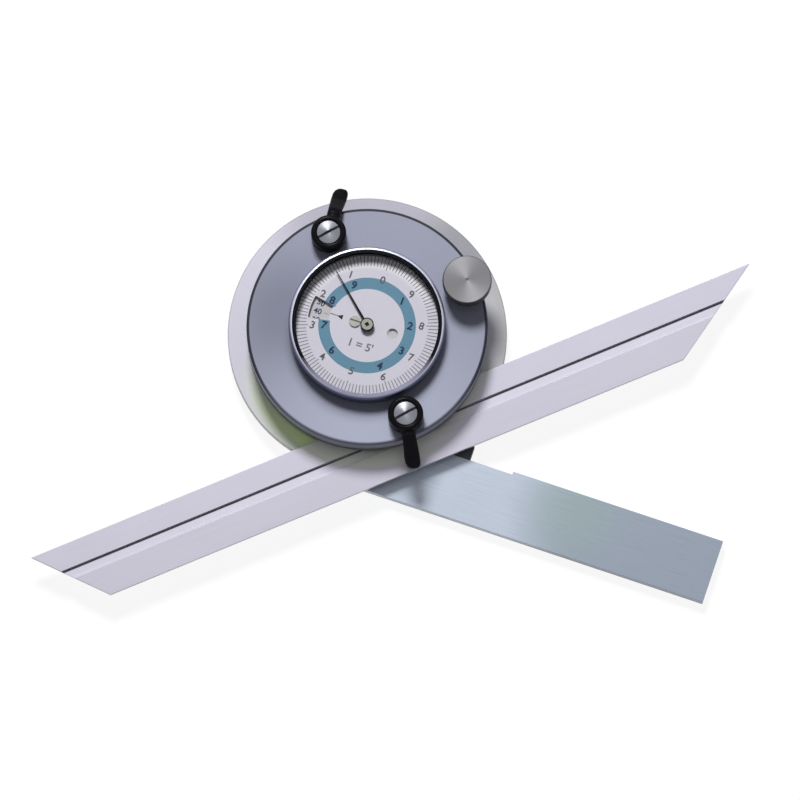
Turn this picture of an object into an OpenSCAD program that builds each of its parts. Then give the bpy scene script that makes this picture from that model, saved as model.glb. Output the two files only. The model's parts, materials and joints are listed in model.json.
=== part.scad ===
// Dial angle finder: a round head with a dial turns on a base disc. The base carries a
// fixed stock, and the head carries a long blade that slides along its own length.
// Z is the pivot axis, the back of the stock lies on z = 0, and the stock runs along +X.
// The head, the blade and all that turns with them are drawn with the blade along +X,
// and then turned together by the angle that the dial shows.

/* [Setting] */
// Angle between blade and stock, in degrees
set_angle = 41.333; // [5:0.0833:175]
// Direction of the dial's zero, in degrees from the blade
dial_zero_angle = 48.667; // [0:1:359]

/* [Base disc and stock] */
// Width of the base disc that shows round the housing
disc_margin = 7.6; // [5:0.1:12]
// Thickness of the base disc
disc_t = 4; // [3.5:0.1:6]
// Chamfer round the base disc's rim
disc_chamfer = 0.3; // [0.1:0.05:0.6]
// Thickness of the stock and of its bracket
stock_t = 5; // [4:0.1:7]
// Width of the stock
stock_w = 25.1; // [22:0.1:28]
// Distance from the pivot to the stock's working edge
stock_edge_at = 57.5; // [54:0.1:62]
// Where the stock's inner end lies along it, from the pivot
stock_inner_at = 13; // [10:0.5:16]
// Where the stock's outer end lies along it, from the pivot
stock_outer_at = 155.9; // [110:0.1:220]
// Depth of the relief in the stock's upper edge
stock_relief = 1.2; // [0.5:0.1:2]
// Where that relief ends along the stock
stock_relief_at = 70.6; // [60:0.1:90]
// Radius of the stock's inner corner
stock_corner_r = 2; // [1:0.1:4]
// Gap between the bracket's round boss and the stock
boss_gap = 1.1; // [0.5:0.1:3]
// Where the bracket's lug ends along the stock
lug_at = 53.3; // [48:0.1:60]
// Height of the lug's end beside the stock
lug_h = 5.65; // [4:0.05:7]

/* [Blade] */
// Reach of the blade's upper edge to the left of the pivot
blade_left = 153; // [120:0.1:180]
// Reach of the blade's upper edge to the right of the pivot
blade_right = 147.4; // [120:0.1:180]
// Width of the blade
blade_w = 25; // [21:0.1:30]
// Thickness of the blade
blade_t = 2; // [1.7:0.1:3]
// Width of the floor plate's rim between the hub and the blade
blade_web = 1.23; // [1:0.01:2]
// Length that the steep end cuts off the lower edge
blade_cut_left = 22.6; // [10:0.1:30]
// Length that the shallow end cuts off the lower edge
blade_cut_right = 38.3; // [20:0.1:50]
// Distance from the clamp screw's axis to the groove
jaw_reach = 2.5; // [2.2:0.05:3]
// Width of the groove
groove_w = 4.3; // [3.6:0.05:5]
// Depth of the groove
groove_depth = 1.1; // [1:0.02:1.3]
// Reach of the undercut below the groove's upper wall
undercut = 0.6; // [0.5:0.02:0.8]
// Height of that undercut
undercut_h = 0.55; // [0.5:0.01:0.65]

/* [Head] */
// Thickness of the housing's wall
wall_t = 3; // [2.6:0.05:4]
// Thickness of the housing's top
top_t = 2; // [1.6:0.1:2.6]
// Chamfer round the housing's top
housing_chamfer = 0.6; // [0.3:0.1:1]
// Thickness of the floor plate above the blade
floor_web_t = 2.1; // [1.9:0.1:3]
// Gap between the clamping nuts and the housing's wall
nut_gap = 0.76; // [0.5:0.02:3]
// Length of the pillars that hang the movement from the housing's top
pillar_len = 2.8; // [2.4:0.1:6]
// Height of the neck that the bezel sits round
neck_h = 1.1; // [0.9:0.1:1.6]
// Wall of that neck
neck_wall = 1.85; // [1.4:0.05:3]

/* [Dial] */
// Outer radius of the bezel
bezel_r = 30.2; // [27:0.1:36]
// Wall of the bezel at its top
bezel_wall = 1.8; // [1.5:0.1:2.4]
// Rounding of the bezel's outer edge
bezel_round = 1.2; // [0.6:0.1:1.5]
// Width of the lip that holds the dial down
bezel_lip = 1; // [0.7:0.05:1.3]
// Gap between the pointer and the crystal
crystal_gap = 0.6; // [0.4:0.1:1]
// Thickness of the crystal
crystal_t = 1.2; // [1:0.1:1.5]
// Height of the ring that holds the crystal
crystal_ring_h = 0.6; // [0.4:0.1:0.8]
// Width of the ring that holds the crystal
crystal_ring_w = 0.75; // [0.5:0.05:1]
// Thickness of the dial plate
dial_t = 0.6; // [0.4:0.1:0.8]
// Gap between the tens disc and the neck round it
tens_gap = 2.9; // [1:0.1:4]
// Thickness of the tens disc
tens_disc_t = 0.5; // [0.4:0.05:0.7]
// Rim of the tens disc that the window doesn't show
window_margin = 0.9; // [0.5:0.1:2]
// Length of the dial's window, along a radius
window_len = 7.7; // [6:0.1:9]
// Angle that the window spans, in degrees
window_span = 22; // [18:1:26]
// Radius of the round hole in the dial
peep_r = 2.1; // [1.5:0.1:2.5]
// Distance from the pivot to that hole
peep_at = 10.3; // [9:0.1:12]
// Radius of the dial screw's head
dial_screw_head_r = 2.2; // [1.8:0.05:2.3]

/* [Pointer] */
// Gap between the pointer's tip and the bezel
pointer_tip_gap = 3.4; // [1:0.1:6]
// Width of the pointer at its hub
pointer_w = 0.8; // [0.6:0.05:1.2]
// Width of the pointer at its tip
pointer_tip_w = 0.3; // [0.2:0.05:0.4]
// Thickness of the pointer
pointer_t = 0.3; // [0.2:0.05:0.4]
// Radius of the pointer's hub
pointer_hub_r = 2.6; // [2.2:0.1:3]
// Height of the pointer's hub
pointer_hub_h = 1.8; // [1.5:0.1:2.4]
// Width of the square socket in the pointer's hub
socket_w = 1.4; // [1:0.1:1.6]

/* [Gear train] */
// Gap between the gear ring's teeth and the clamping nuts
ring_gap = 1.62; // [1:0.02:3]
// Solid width between the gear ring's two rows of teeth
ring_web = 5.835; // [5:0.005:7]
// Step from the outer teeth's root in to the hub
hub_step = 1.4; // [1:0.1:2]
// Wall of the hub
hub_wall = 3.385; // [2.9:0.005:4]
// Thickness of the gear ring
ring_t = 2.5; // [2:0.1:3]
// Thickness of the transfer gear and the tens wheel
gear_t = 1; // [0.8:0.05:1.2]
// Thickness of the movement plate
plate_t = 1.2; // [1:0.05:1.5]
// Gap between the movement plate and the lever screws' collars
plate_gap = 0.3; // [0.25:0.05:2]
// Thickness of the lower bearing plate
low_plate_t = 1; // [0.8:0.05:1.2]
// Gap between the lower bearing plate's rim and the line of the inner teeth
low_plate_gap = 1.24; // [0.8:0.02:2]
// Thinning of each tooth, which gives the gears their backlash
tooth_thinning = 0.06; // [0.05:0.01:0.1]

/* [Knob] */
// Radius of the knob
knob_r = 9.5; // [8:0.1:10.5]
// Height of the knob's knurled rim
knob_h = 6.5; // [5:0.1:8]
// Radius of the knob's neck
knob_neck_r = 5; // [4.4:0.1:6]
// Height of the knob's neck
knob_neck_h = 4.3; // [3.5:0.1:6]
// Radius of the knob's shaft
knob_shaft_r = 1.9; // [1.6:0.05:2.2]
// Depth of the knurl
knurl_depth = 0.3; // [0.2:0.05:0.4]

/* [Levers] */
// Gap between the bezel and each lever's hub
lever_gap = 1.5; // [1:0.1:4]
// Radius of a lever's hub
lever_hub_r = 6.8; // [6.2:0.1:8]
// Height of a lever's hub
lever_hub_h = 7.5; // [6.5:0.1:9]
// Length of a lever from its axis to its tip
lever_len = 19.4; // [17:0.1:24]
// Drop of a lever's tip below its neck
lever_drop = 7; // [4:0.1:8]
// Width of a lever at its neck
lever_neck_w = 5.6; // [4:0.1:6.4]
// Width of a lever at its tip
lever_tip_w = 5.8; // [4.6:0.1:6.6]
// Direction of the swivel lock lever, in degrees from the blade
lock_lever_angle = 48; // [48:1:72]
// Direction of the blade clamp lever, in degrees from the blade
clamp_lever_angle = -102.5; // [-132:0.5:-102]
// Radius of a lever screw's head
lever_screw_head_r = 4.5; // [3.8:0.1:5.2]
// Radius of a lever screw's shank
lever_screw_r = 2.5; // [2.1:0.05:3]
// Radius of a lever screw's thread
lever_thread_r = 2; // [1.7:0.05:2.1]
// Width of the clamp jaw and of the lock shoe
jaw_w = 8; // [7:0.1:9.5]

/* [Clearances] */
// Radial clearance of a shaft in its bearing
run_gap = 0.05; // [0.04:0.01:0.06]
// Clearance between flat faces that pass each other
face_gap = 0.2; // [0.17:0.01:0.25]
// Clearance between the base disc and what turns above it
disc_gap = 0.3; // [0.26:0.01:0.4]
// Clearance of a clamping face at its closed position
clamp_gap = 0.03; // [0.02:0.005:0.03]
// Clearance of a screw in its thread, and of a pin in its press fit
fit_gap = 0.01; // [0.005:0.005:0.02]

/* [Hidden] */
$fn = 72;

// Overrun of every cut past the face it opens
overrun = 0.5;

// Levels, from the back upwards
z_disc = stock_t;
z_disc_top = z_disc + disc_t;
z_blade = z_disc_top + disc_gap;
z_blade_top = z_blade + blade_t;
z_floor = z_blade;
z_channel = z_blade_top + face_gap;
z_floor_top = z_channel + floor_web_t;
z_ring = z_floor_top + face_gap;
z_ring_top = z_ring + ring_t;
gear_space = 0.7;
z_gear = z_ring_top + gear_space;
z_gear_top = z_gear + gear_t;
plate_space = 0.5;
z_plate = z_gear_top + plate_space;
z_plate_top = z_plate + plate_t;
z_tens = z_plate_top + 0.75 * face_gap;
z_tens_top = z_tens + gear_t;
z_under_top = z_plate_top + pillar_len;
z_top = z_under_top + top_t;
z_dial = z_top + neck_h;
z_dial_top = z_dial + dial_t;
tens_space = 0.5;
z_tens_disc_top = z_dial - tens_space;
z_tens_disc = z_tens_disc_top - tens_disc_t;
pointer_space = 0.6;
z_pointer_hub = z_dial_top + pointer_space;
z_crystal = z_pointer_hub + pointer_hub_h + crystal_gap;
z_crystal_top = z_crystal + crystal_t;
z_bezel_top = z_crystal_top + crystal_ring_h;
low_space = 1.8;
z_low_top = z_ring - low_space;
z_low = z_low_top - low_plate_t;

// The levers stand beside the bezel, and the gear ring fits inside their nuts
lever_at = bezel_r + lever_gap + lever_hub_r;
ring_tip_r = lever_at - jaw_w / 2 - ring_gap;

// Gear train: tooth counts, tooth shape and the modules and pitch radii that follow
ring_inner_teeth = 72;
ring_outer_teeth = 108;
arbor_teeth = 12;
wheel_teeth = 72;
pinion_teeth = 12;
idler_teeth = 15;
knob_teeth = 10;
pressure_angle = 25;
addendum_share = 0.8;
dedendum_share = 1.05;
outer_module = ring_tip_r / (ring_outer_teeth / 2 + addendum_share);
ring_outer_pitch_r = outer_module * ring_outer_teeth / 2;
ring_outer_root_r = ring_outer_pitch_r - dedendum_share * outer_module;
ring_inner_root_r = ring_outer_root_r - ring_web;
inner_module = ring_inner_root_r / (ring_inner_teeth / 2 + dedendum_share);
ring_inner_pitch_r = inner_module * ring_inner_teeth / 2;
ring_inner_tip_r = ring_inner_pitch_r - addendum_share * inner_module;
arbor_at = inner_module * (ring_inner_teeth - arbor_teeth) / 2;
train_module = 2 * arbor_at / (wheel_teeth + pinion_teeth);
arbor_pitch_r = inner_module * arbor_teeth / 2;
wheel_pitch_r = train_module * wheel_teeth / 2;
pinion_pitch_r = train_module * pinion_teeth / 2;
idler_pitch_r = outer_module * idler_teeth / 2;
knob_pitch_r = outer_module * knob_teeth / 2;
knob_tip_r = knob_pitch_r + addendum_share * outer_module;
wheel_pitch = 360 / wheel_teeth;
pinion_pitch = 360 / pinion_teeth;

// The idler sits where it meshes with both the gear ring and the knob pinion
idler_at = ring_outer_pitch_r + idler_pitch_r;
idler_reach = idler_pitch_r + knob_pitch_r;
knob_side_share = 0.64;
pinion_pocket_gap = 0.35;
knob_at = idler_at + knob_side_share * idler_reach;
idler_angle = acos((idler_at * idler_at + knob_at * knob_at - idler_reach * idler_reach)
    / (2 * idler_at * knob_at));
idler_place = [idler_at * cos(idler_angle), idler_at * sin(idler_angle)];
knob_line = atan2(-idler_place.y, knob_at - idler_place.x);
idler_phase = idler_angle + 180 + 180 / idler_teeth;
idler_offset = (knob_line - idler_phase) * idler_teeth / 360;
knob_phase = knob_line + 180 - (0.5 - idler_offset) * 360 / knob_teeth;

// Hub that the head turns on, between the two rows of ring teeth
hub_r = ring_outer_root_r - hub_step;
hub_inner_r = hub_r - hub_wall;
hub_screw_at = (hub_r + hub_inner_r) / 2;
hub_seat = 1;
hub_screw_count = 6;
small_head_r = 1.6;
small_shank_r = 0.9;
hub_screw_reach = disc_t + 2 * hub_seat;
ring_screw_reach = ring_t + 2 * hub_seat;

// Stock fasteners, behind the disc
stock_top_y = stock_w - stock_edge_at;
boss_r = stock_relief - stock_top_y - boss_gap;
stock_screw_head_r = 3.4;
stock_screw_r = 2;
stock_screw_reach = stock_t + 0.7 * disc_t;
stock_row_y = stock_top_y - 1.9 * stock_screw_head_r;
stock_screw_places = [
    [stock_inner_at + 1.8 * stock_screw_head_r, stock_row_y - stock_screw_head_r],
    [stock_inner_at + 6 * stock_screw_head_r, stock_row_y + 0.5 * stock_screw_head_r]];
dowel_r = 1.5;
dowel_places = [
    [stock_inner_at + 2 * dowel_r, stock_row_y + 2 * dowel_r],
    [stock_inner_at + 9 * dowel_r, stock_row_y - dowel_r]];
dowel_sink = 0.5;
bracket_screw_count = 4;
bracket_screw_at = 0.6 * boss_r;
lug_gap = 0.05;
lug_root_share = 0.3;

// Blade clamp: the floor plate's shoulder guides the blade's upper edge
blade_edge_at = hub_r + blade_web;
shoulder_y = run_gap - blade_edge_at;
groove_top_y = -lever_at - jaw_reach;
blade_low_y = -blade_edge_at - blade_w;
groove_low_y = groove_top_y - groove_w;
z_groove = z_blade_top - groove_depth;
jaw_gap = 0.3;
jaw_inner_y = jaw_w / 2 - lever_at;
jaw_nut_low_y = -lever_at - jaw_w / 2;
jaw_low_y = groove_low_y + jaw_gap;
jaw_toe = 0.4;
z_jaw_toe_top = z_groove + undercut_h - clamp_gap;
jaw_foot = 0.25;
z_jaw_foot = z_groove + jaw_foot;
z_jaw_shelf = z_floor_top - face_gap;
nut_h = 3.6;
z_nut_top = z_floor_top + nut_h - face_gap;
nut_bore_drop = 1.4;
z_nut_bore = z_floor_top - nut_bore_drop;
thread_tip_gap = 0.4;

// Lock shoe, which the same kind of screw drives down on the disc
z_shoe = z_disc_top + clamp_gap;

// Lever screws, their bushes and collars
bush_wall = 1.1;
bush_boss_wall = 1.9;
bush_drop = 2;
z_bush = z_under_top - bush_drop;
bush_flange_t = 0.4;
bush_flange_r = lever_screw_r + 2.4 * bush_wall;
z_lever = z_top + bush_flange_t + run_gap;
z_lever_top = z_lever + lever_hub_h;
lever_recess = 2.2;
z_lever_seat = z_lever_top - lever_recess;
collar_t = 0.7;
collar_r = lever_screw_r + 1.2 * bush_wall;
z_collar_top = z_bush - face_gap / 2;
z_collar = z_collar_top - collar_t;
lever_head_crown = 0.4;
lever_screw_crown_r = 3 * lever_screw_head_r;

// Knob shaft bearings
knob_bush_wall = 1.3;
knob_flange_t = 0.6;
z_knob = z_top + knob_flange_t + face_gap / 2;
z_knob_rim = z_knob + knob_neck_h;
z_knob_top = z_knob_rim + knob_h;
knob_pivot_r = 1.2;
knob_pivot_h = 1.9;
knob_collar_t = 1;
knob_bore_share = 0.6;
z_knob_bore = z_knob_rim + knob_bore_share * knob_h;
set_screw_r = 1;
knurl_count = 72;
knob_chamfer = 0.5;
knob_dimple_r = 0.6;

// Movement
plate_r = lever_at - jaw_w / 2 - plate_gap;
low_plate_r = ring_inner_tip_r - low_plate_gap;
pillar_count = 4;
pillar_r = 2.4;
pillar_at = plate_r - 1.125 * pillar_r;
pillar_screw_r = 1;
pillar_head_r = 1.9;
pillar_head_h = 0.9;
low_pillar_angles = [0, 110, -110];
low_pillar_r = 1.6;
low_pillar_at = low_plate_r - low_pillar_r - face_gap;
low_pin_r = 1;
low_screw_r = 0.8;
low_screw_head_r = 1.4;
low_screw_reach = low_plate_t + 3 * low_screw_r;
post_r = 7.9;
post_screw_angles = [50, -50];
post_screw_at = 5.5;
post_screw_head_r = 1.4;
post_screw_r = 0.8;
post_screw_reach = plate_t + 3 * post_screw_r;
dial_screw_at = pointer_hub_r + dial_screw_head_r + face_gap;
dial_screw_r = 1.1;
dial_screw_h = 0.7;
dial_screw_reach = 3;
tube_r = 9.4;
tube_spigot_r = 8.8;
staff_r = 1.2;
arbor_body_r = 2;
arbor_spigot_r = 0.9;
pivot_r = 0.6;
pivot_sink = 0.1;
pinion_h = 1.4;
z_pinion = z_gear - (pinion_h - gear_t) / 2;
idler_stud_r = 1.5;
idler_thread_r = 1.2;
idler_head_r = 2.5;
idler_head_h = 0.8;

// The wall clears the clamping nuts, and keeps a skin outside the knob pinion's pocket
nut_corner_r = norm([jaw_w / 2 + run_gap, lever_at + jaw_w / 2 + run_gap]);
pocket_skin_share = 0.3;
housing_r = max(nut_corner_r + nut_gap + wall_t,
    knob_at + knob_tip_r + pinion_pocket_gap + pocket_skin_share * wall_t);
wall_inner_r = housing_r - wall_t;
disc_r = housing_r + disc_margin;

// A lever's handle bends down where it has passed the rim, at the end of its swing too
lever_swing_angle = 42;
rim_cross = sqrt(pow(housing_r, 2) - pow(lever_at * sin(lever_swing_angle), 2))
    - lever_at * cos(lever_swing_angle);
lever_bend_at = rim_cross - housing_chamfer;

// Floor screws stand in the housing's wall
floor_inset = 0.3;
floor_r = housing_r - floor_inset;
floor_screw_count = 8;
floor_screw_angle = 22.5;
floor_screw_at = housing_r - 0.6 * wall_t;
floor_screw_head_r = 1.25;
floor_screw_r = 0.75;
floor_screw_reach = 8.2;

// Bezel and crystal
bezel_seat_r = bezel_r - bezel_wall;
crystal_r = bezel_seat_r - fit_gap;
dial_view_r = bezel_seat_r - bezel_lip;
neck_r = bezel_seat_r - run_gap;
opening_r = neck_r - neck_wall;
tens_disc_r = opening_r - tens_gap;
window_outer_r = tens_disc_r - window_margin;
window_inner_r = window_outer_r - window_len;
arc_steps = 8;
z_pointer = z_pointer_hub + 0.6 * pointer_hub_h - pointer_t;
pointer_len = dial_view_r - pointer_tip_gap;
pointer_angle = dial_zero_angle + 36 * (set_angle - 10 * floor(set_angle / 10));
pointer_tail = 1.9;
socket_depth = 0.8;

// Screwdriver slots, as shares of the head's radius
slot_w_share = 0.22;
slot_depth_share = 0.3;
lever_slot_angle = 6;

// Point at a radius and an angle
function polar(r, a) = [r * cos(a), r * sin(a)];

// Points of a round corner, from one angle to another about a centre
function corner(centre, r, from, to) =
    [for (k = [0:arc_steps]) centre + polar(r, from + (to - from) * k / arc_steps)];

// Involute function of an angle in degrees
function inv(a) = tan(a) * 180 / PI - a;

// Half of the angle that a tooth fills at radius rho; a negative thinning widens it
function half_tooth(rho, pitch_r, teeth, thinning) =
    let (base_r = pitch_r * cos(pressure_angle), a = acos(min(1, base_r / rho)))
    90 / teeth - thinning / pitch_r * 90 / PI + inv(pressure_angle) - inv(a);

// Radii at which a flank has a point, from the root to the tip
function flank_radii(root_r, tip_r, base_r, steps) =
    let (start = max(root_r, base_r),
         flank = [for (k = [0:steps]) start + (tip_r - start) * k / steps])
    root_r < base_r ? concat([root_r], flank) : flank;

// Closed outline of a toothed wheel, with one tooth centred on the phase angle
function gear_outline(teeth, pitch_r, root_r, tip_r, thinning, phase, steps) =
    let (base_r = pitch_r * cos(pressure_angle),
         radii = flank_radii(root_r, tip_r, base_r, steps),
         last = len(radii) - 1)
    [for (i = [0:teeth - 1]) let (mid = phase + 360 * i / teeth)
        each concat(
            [for (k = [0:last]) polar(radii[k], mid - half_tooth(max(radii[k], base_r),
                pitch_r, teeth, thinning))],
            [for (k = [last:-1:0]) polar(radii[k], mid + half_tooth(max(radii[k], base_r),
                pitch_r, teeth, thinning))])];

// Everything that turns with the head is drawn inside this
module on_head() {
    rotate([0, 0, set_angle]) children();
}

// Copies spread evenly on a circle
module ring_of(count, at, start = 0) {
    for (i = [0:count - 1])
        rotate([0, 0, start + 360 * i / count]) translate([at, 0, 0]) children();
}

// Ring or plain disc standing on a level
module disc_at(z, h, r) {
    translate([0, 0, z]) cylinder(h = h, r = r);
}

// Spur gear with outward teeth, standing on a level
module spur_gear(teeth, pitch_r, module_size, z, h, phase = 0) {
    steps = teeth > 40 ? 1 : 3;
    translate([0, 0, z]) linear_extrude(height = h)
        polygon(gear_outline(teeth, pitch_r, pitch_r - dedendum_share * module_size,
            pitch_r + addendum_share * module_size, tooth_thinning, phase, steps));
}

// Screwdriver slot cut into a head that faces down at z = 0
module slot_cut(head_r) {
    translate([-head_r - overrun, -slot_w_share * head_r, -overrun])
        cube([2 * (head_r + overrun), 2 * slot_w_share * head_r,
            overrun + slot_depth_share * head_r]);
}

// Countersunk screw, with its head's flat face down at z = 0
module flat_screw(head_r, shank_r, reach) {
    difference() {
        union() {
            cylinder(h = head_r - shank_r, r1 = head_r, r2 = shank_r);
            cylinder(h = reach, r = shank_r);
        }
        slot_cut(head_r);
    }
}

// Hole for that screw, opening downwards
module flat_screw_hole(head_r, shank_r, reach) {
    translate([0, 0, -overrun]) cylinder(h = overrun, r = head_r + fit_gap);
    cylinder(h = head_r - shank_r, r1 = head_r + fit_gap, r2 = shank_r + fit_gap);
    cylinder(h = reach + fit_gap, r = shank_r + fit_gap);
}

// Cheese-headed screw, with its head's flat face down at z = 0
module cheese_screw(head_r, head_h, shank_r, reach) {
    difference() {
        union() {
            cylinder(h = head_h, r = head_r);
            cylinder(h = reach, r = shank_r);
        }
        slot_cut(head_r);
    }
}

// Base disc, with the seat of the hub turned into its top
module base_disc() {
    color([0.80, 0.80, 0.85]) difference() {
        rotate_extrude() polygon([
            [0, z_disc], [disc_r - disc_chamfer, z_disc], [disc_r, z_disc + disc_chamfer],
            [disc_r, z_disc_top - disc_chamfer], [disc_r - disc_chamfer, z_disc_top],
            [0, z_disc_top]]);
        disc_at(z_disc_top - hub_seat, hub_seat + overrun, hub_r + fit_gap);
        translate([0, 0, z_disc]) ring_of(hub_screw_count, hub_screw_at)
            flat_screw_hole(small_head_r, small_shank_r, hub_screw_reach);
        ring_of(bracket_screw_count, bracket_screw_at, 180 / bracket_screw_count)
            flat_screw_hole(stock_screw_head_r, stock_screw_r, stock_screw_reach - hub_seat);
        stock_holes();
    }
}

// Holes for the stock's screws and dowels
module stock_holes() {
    for (place = stock_screw_places) translate(place)
        flat_screw_hole(stock_screw_head_r, stock_screw_r, stock_screw_reach);
    for (place = dowel_places) translate(place)
        disc_at(dowel_sink, stock_t + disc_t - 2 * dowel_sink, dowel_r + fit_gap);
}

// Stock, with its working edge towards -Y
module stock() {
    color([0.72, 0.76, 0.84]) difference() {
        linear_extrude(height = stock_t) polygon(concat(
            corner([stock_inner_at + stock_corner_r, stock_corner_r - stock_edge_at],
                stock_corner_r, 180, 270),
            [[stock_outer_at, -stock_edge_at], [stock_outer_at, stock_top_y],
             [stock_relief_at, stock_top_y], [stock_relief_at, stock_top_y - stock_relief],
             [stock_inner_at, stock_top_y - stock_relief]]));
        stock_holes();
    }
}

module stock_screws() {
    color("gray") for (place = stock_screw_places) translate(place)
        flat_screw(stock_screw_head_r, stock_screw_r, stock_screw_reach);
}

module stock_dowels() {
    color("silver") for (place = dowel_places) translate(place)
        disc_at(dowel_sink, stock_t + disc_t - 2 * dowel_sink, dowel_r);
}

// Dark bracket: a round boss behind the disc with a lug along the stock's upper edge
module stock_bracket() {
    edge_y = stock_top_y - stock_relief + lug_gap;
    color([0.22, 0.23, 0.26]) difference() {
        linear_extrude(height = stock_t) union() {
            circle(r = boss_r);
            polygon([[stock_inner_at, edge_y], [lug_at, edge_y], [lug_at, edge_y + lug_h],
                [boss_r * cos(15), -boss_r * sin(15)], [0, 0],
                [lug_root_share * stock_inner_at, -boss_r * cos(15)]]);
        }
        ring_of(bracket_screw_count, bracket_screw_at, 180 / bracket_screw_count)
            flat_screw_hole(stock_screw_head_r, stock_screw_r, stock_t + overrun);
    }
}

module bracket_screws() {
    color("gray") ring_of(bracket_screw_count, bracket_screw_at, 180 / bracket_screw_count)
        flat_screw(stock_screw_head_r, stock_screw_r, stock_screw_reach - hub_seat);
}

// Hub: the journal that the floor plate turns on, seated in the disc
module base_hub() {
    z_hub = z_disc_top - hub_seat;
    color([0.62, 0.62, 0.64]) difference() {
        disc_at(z_hub, z_ring - z_hub, hub_r);
        disc_at(z_hub - overrun, z_ring - z_hub + 2 * overrun, hub_inner_r);
        translate([0, 0, z_disc]) ring_of(hub_screw_count, hub_screw_at)
            flat_screw_hole(small_head_r, small_shank_r, hub_screw_reach);
        ring_screw_holes();
    }
}

module hub_screws() {
    color("gray") translate([0, 0, z_disc]) ring_of(hub_screw_count, hub_screw_at)
        flat_screw(small_head_r, small_shank_r, hub_screw_reach);
}

// Gear ring: the inner teeth drive the dial, and the knob climbs round the outer teeth
module gear_ring() {
    color([0.78, 0.66, 0.36]) difference() {
        on_head() translate([0, 0, z_ring]) linear_extrude(height = ring_t) difference() {
            polygon(gear_outline(ring_outer_teeth, ring_outer_pitch_r, ring_outer_root_r,
                ring_outer_pitch_r + addendum_share * outer_module, tooth_thinning,
                idler_angle, 1));
            polygon(gear_outline(ring_inner_teeth, ring_inner_pitch_r,
                ring_inner_pitch_r - addendum_share * inner_module, ring_inner_root_r,
                -tooth_thinning, 0, 1));
        }
        ring_screw_holes();
    }
}

module ring_screw_holes() {
    translate([0, 0, z_ring_top]) mirror([0, 0, 1])
        ring_of(hub_screw_count, hub_screw_at, 180 / hub_screw_count)
            flat_screw_hole(small_head_r, small_shank_r, ring_screw_reach);
}

module ring_screws() {
    color("gray") translate([0, 0, z_ring_top]) mirror([0, 0, 1])
        ring_of(hub_screw_count, hub_screw_at, 180 / hub_screw_count)
            flat_screw(small_head_r, small_shank_r, ring_screw_reach);
}

// Screws or holes that join the floor plate to the housing, on the floor's stepped underside
module on_floor_pattern() {
    for (i = [0:floor_screw_count - 1]) {
        a = floor_screw_angle + 360 * i / floor_screw_count;
        stepped = floor_screw_at * sin(a) < shoulder_y;
        translate(concat(polar(floor_screw_at, a), [stepped ? z_channel : z_floor]))
            children(stepped ? 1 : 0);
    }
}

module floor_screw_holes() {
    on_floor_pattern() {
        flat_screw_hole(floor_screw_head_r, floor_screw_r, floor_screw_reach);
        flat_screw_hole(floor_screw_head_r, floor_screw_r,
            floor_screw_reach - (z_channel - z_floor));
    }
}

// Floor plate: it turns on the hub, guides the blade, the shoe and the jaw
module floor_plate() {
    slot_w = jaw_w + 2 * run_gap;
    slot_h = z_floor_top - z_floor + 2 * overrun;
    color([0.30, 0.31, 0.36]) on_head() difference() {
        disc_at(z_floor, z_floor_top - z_floor, floor_r);
        disc_at(z_floor - overrun, slot_h, hub_r + run_gap);
        translate([-housing_r, shoulder_y - housing_r, z_floor - overrun])
            cube([2 * housing_r, housing_r, z_channel - z_floor + overrun]);
        translate([-slot_w / 2, lever_at - slot_w / 2, z_floor - overrun])
            cube([slot_w, slot_w, slot_h]);
        translate([-slot_w / 2, jaw_low_y - run_gap, z_floor - overrun])
            cube([slot_w, jaw_inner_y - jaw_low_y + 2 * run_gap, slot_h]);
        floor_screw_holes();
        translate(idler_place) disc_at(z_channel, slot_h, idler_thread_r + fit_gap);
        translate([knob_at, 0]) disc_at(z_floor_top - knob_pivot_h - face_gap, slot_h,
            knob_pivot_r + run_gap);
    }
}

module floor_screws() {
    color("gray") on_head() on_floor_pattern() {
        flat_screw(floor_screw_head_r, floor_screw_r, floor_screw_reach);
        flat_screw(floor_screw_head_r, floor_screw_r,
            floor_screw_reach - (z_channel - z_floor));
    }
}

// Housing: wall, top and neck in one turned piece, with bosses for the bushes
module housing() {
    color([0.60, 0.63, 0.71]) on_head() difference() {
        union() {
            rotate_extrude() polygon([
                [wall_inner_r, z_floor_top], [housing_r, z_floor_top],
                [housing_r, z_top - housing_chamfer], [housing_r - housing_chamfer, z_top],
                [neck_r, z_top], [neck_r, z_dial], [opening_r, z_dial],
                [opening_r, z_under_top], [wall_inner_r, z_under_top]]);
            for (side = [-1, 1]) translate([0, side * lever_at])
                disc_at(z_bush, bush_drop + top_t / 2,
                    lever_screw_r + bush_wall + bush_boss_wall);
            translate([knob_at, 0]) intersection() {
                disc_at(z_bush, bush_drop + top_t / 2, knob_shaft_r + 2 * knob_bush_wall);
                translate([-knob_at, 0]) disc_at(z_bush, bush_drop + top_t, housing_r);
            }
        }
        for (side = [-1, 1]) translate([0, side * lever_at])
            disc_at(z_bush - overrun, z_top - z_bush + 2 * overrun,
                lever_screw_r + bush_wall + fit_gap);
        translate([knob_at, 0]) {
            disc_at(z_bush - overrun, z_top - z_bush + 2 * overrun,
                knob_shaft_r + knob_bush_wall + fit_gap);
            disc_at(z_floor_top - overrun, z_bush - z_floor_top + overrun,
                knob_tip_r + pinion_pocket_gap);
        }
        floor_screw_holes();
        movement_screw_holes();
    }
}

// Bezel: pressed round the neck, with a lip over the dial and a seat for the crystal
module bezel() {
    color([0.82, 0.82, 0.86]) on_head() rotate_extrude() polygon(concat(
        [[neck_r + run_gap, z_top], [bezel_r, z_top]],
        corner([bezel_r - bezel_round, z_bezel_top - bezel_round], bezel_round, 0, 90),
        [[bezel_seat_r, z_bezel_top], [bezel_seat_r, z_crystal], [dial_view_r, z_crystal],
         [dial_view_r, z_dial_top], [neck_r + run_gap, z_dial_top]]));
}

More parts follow.
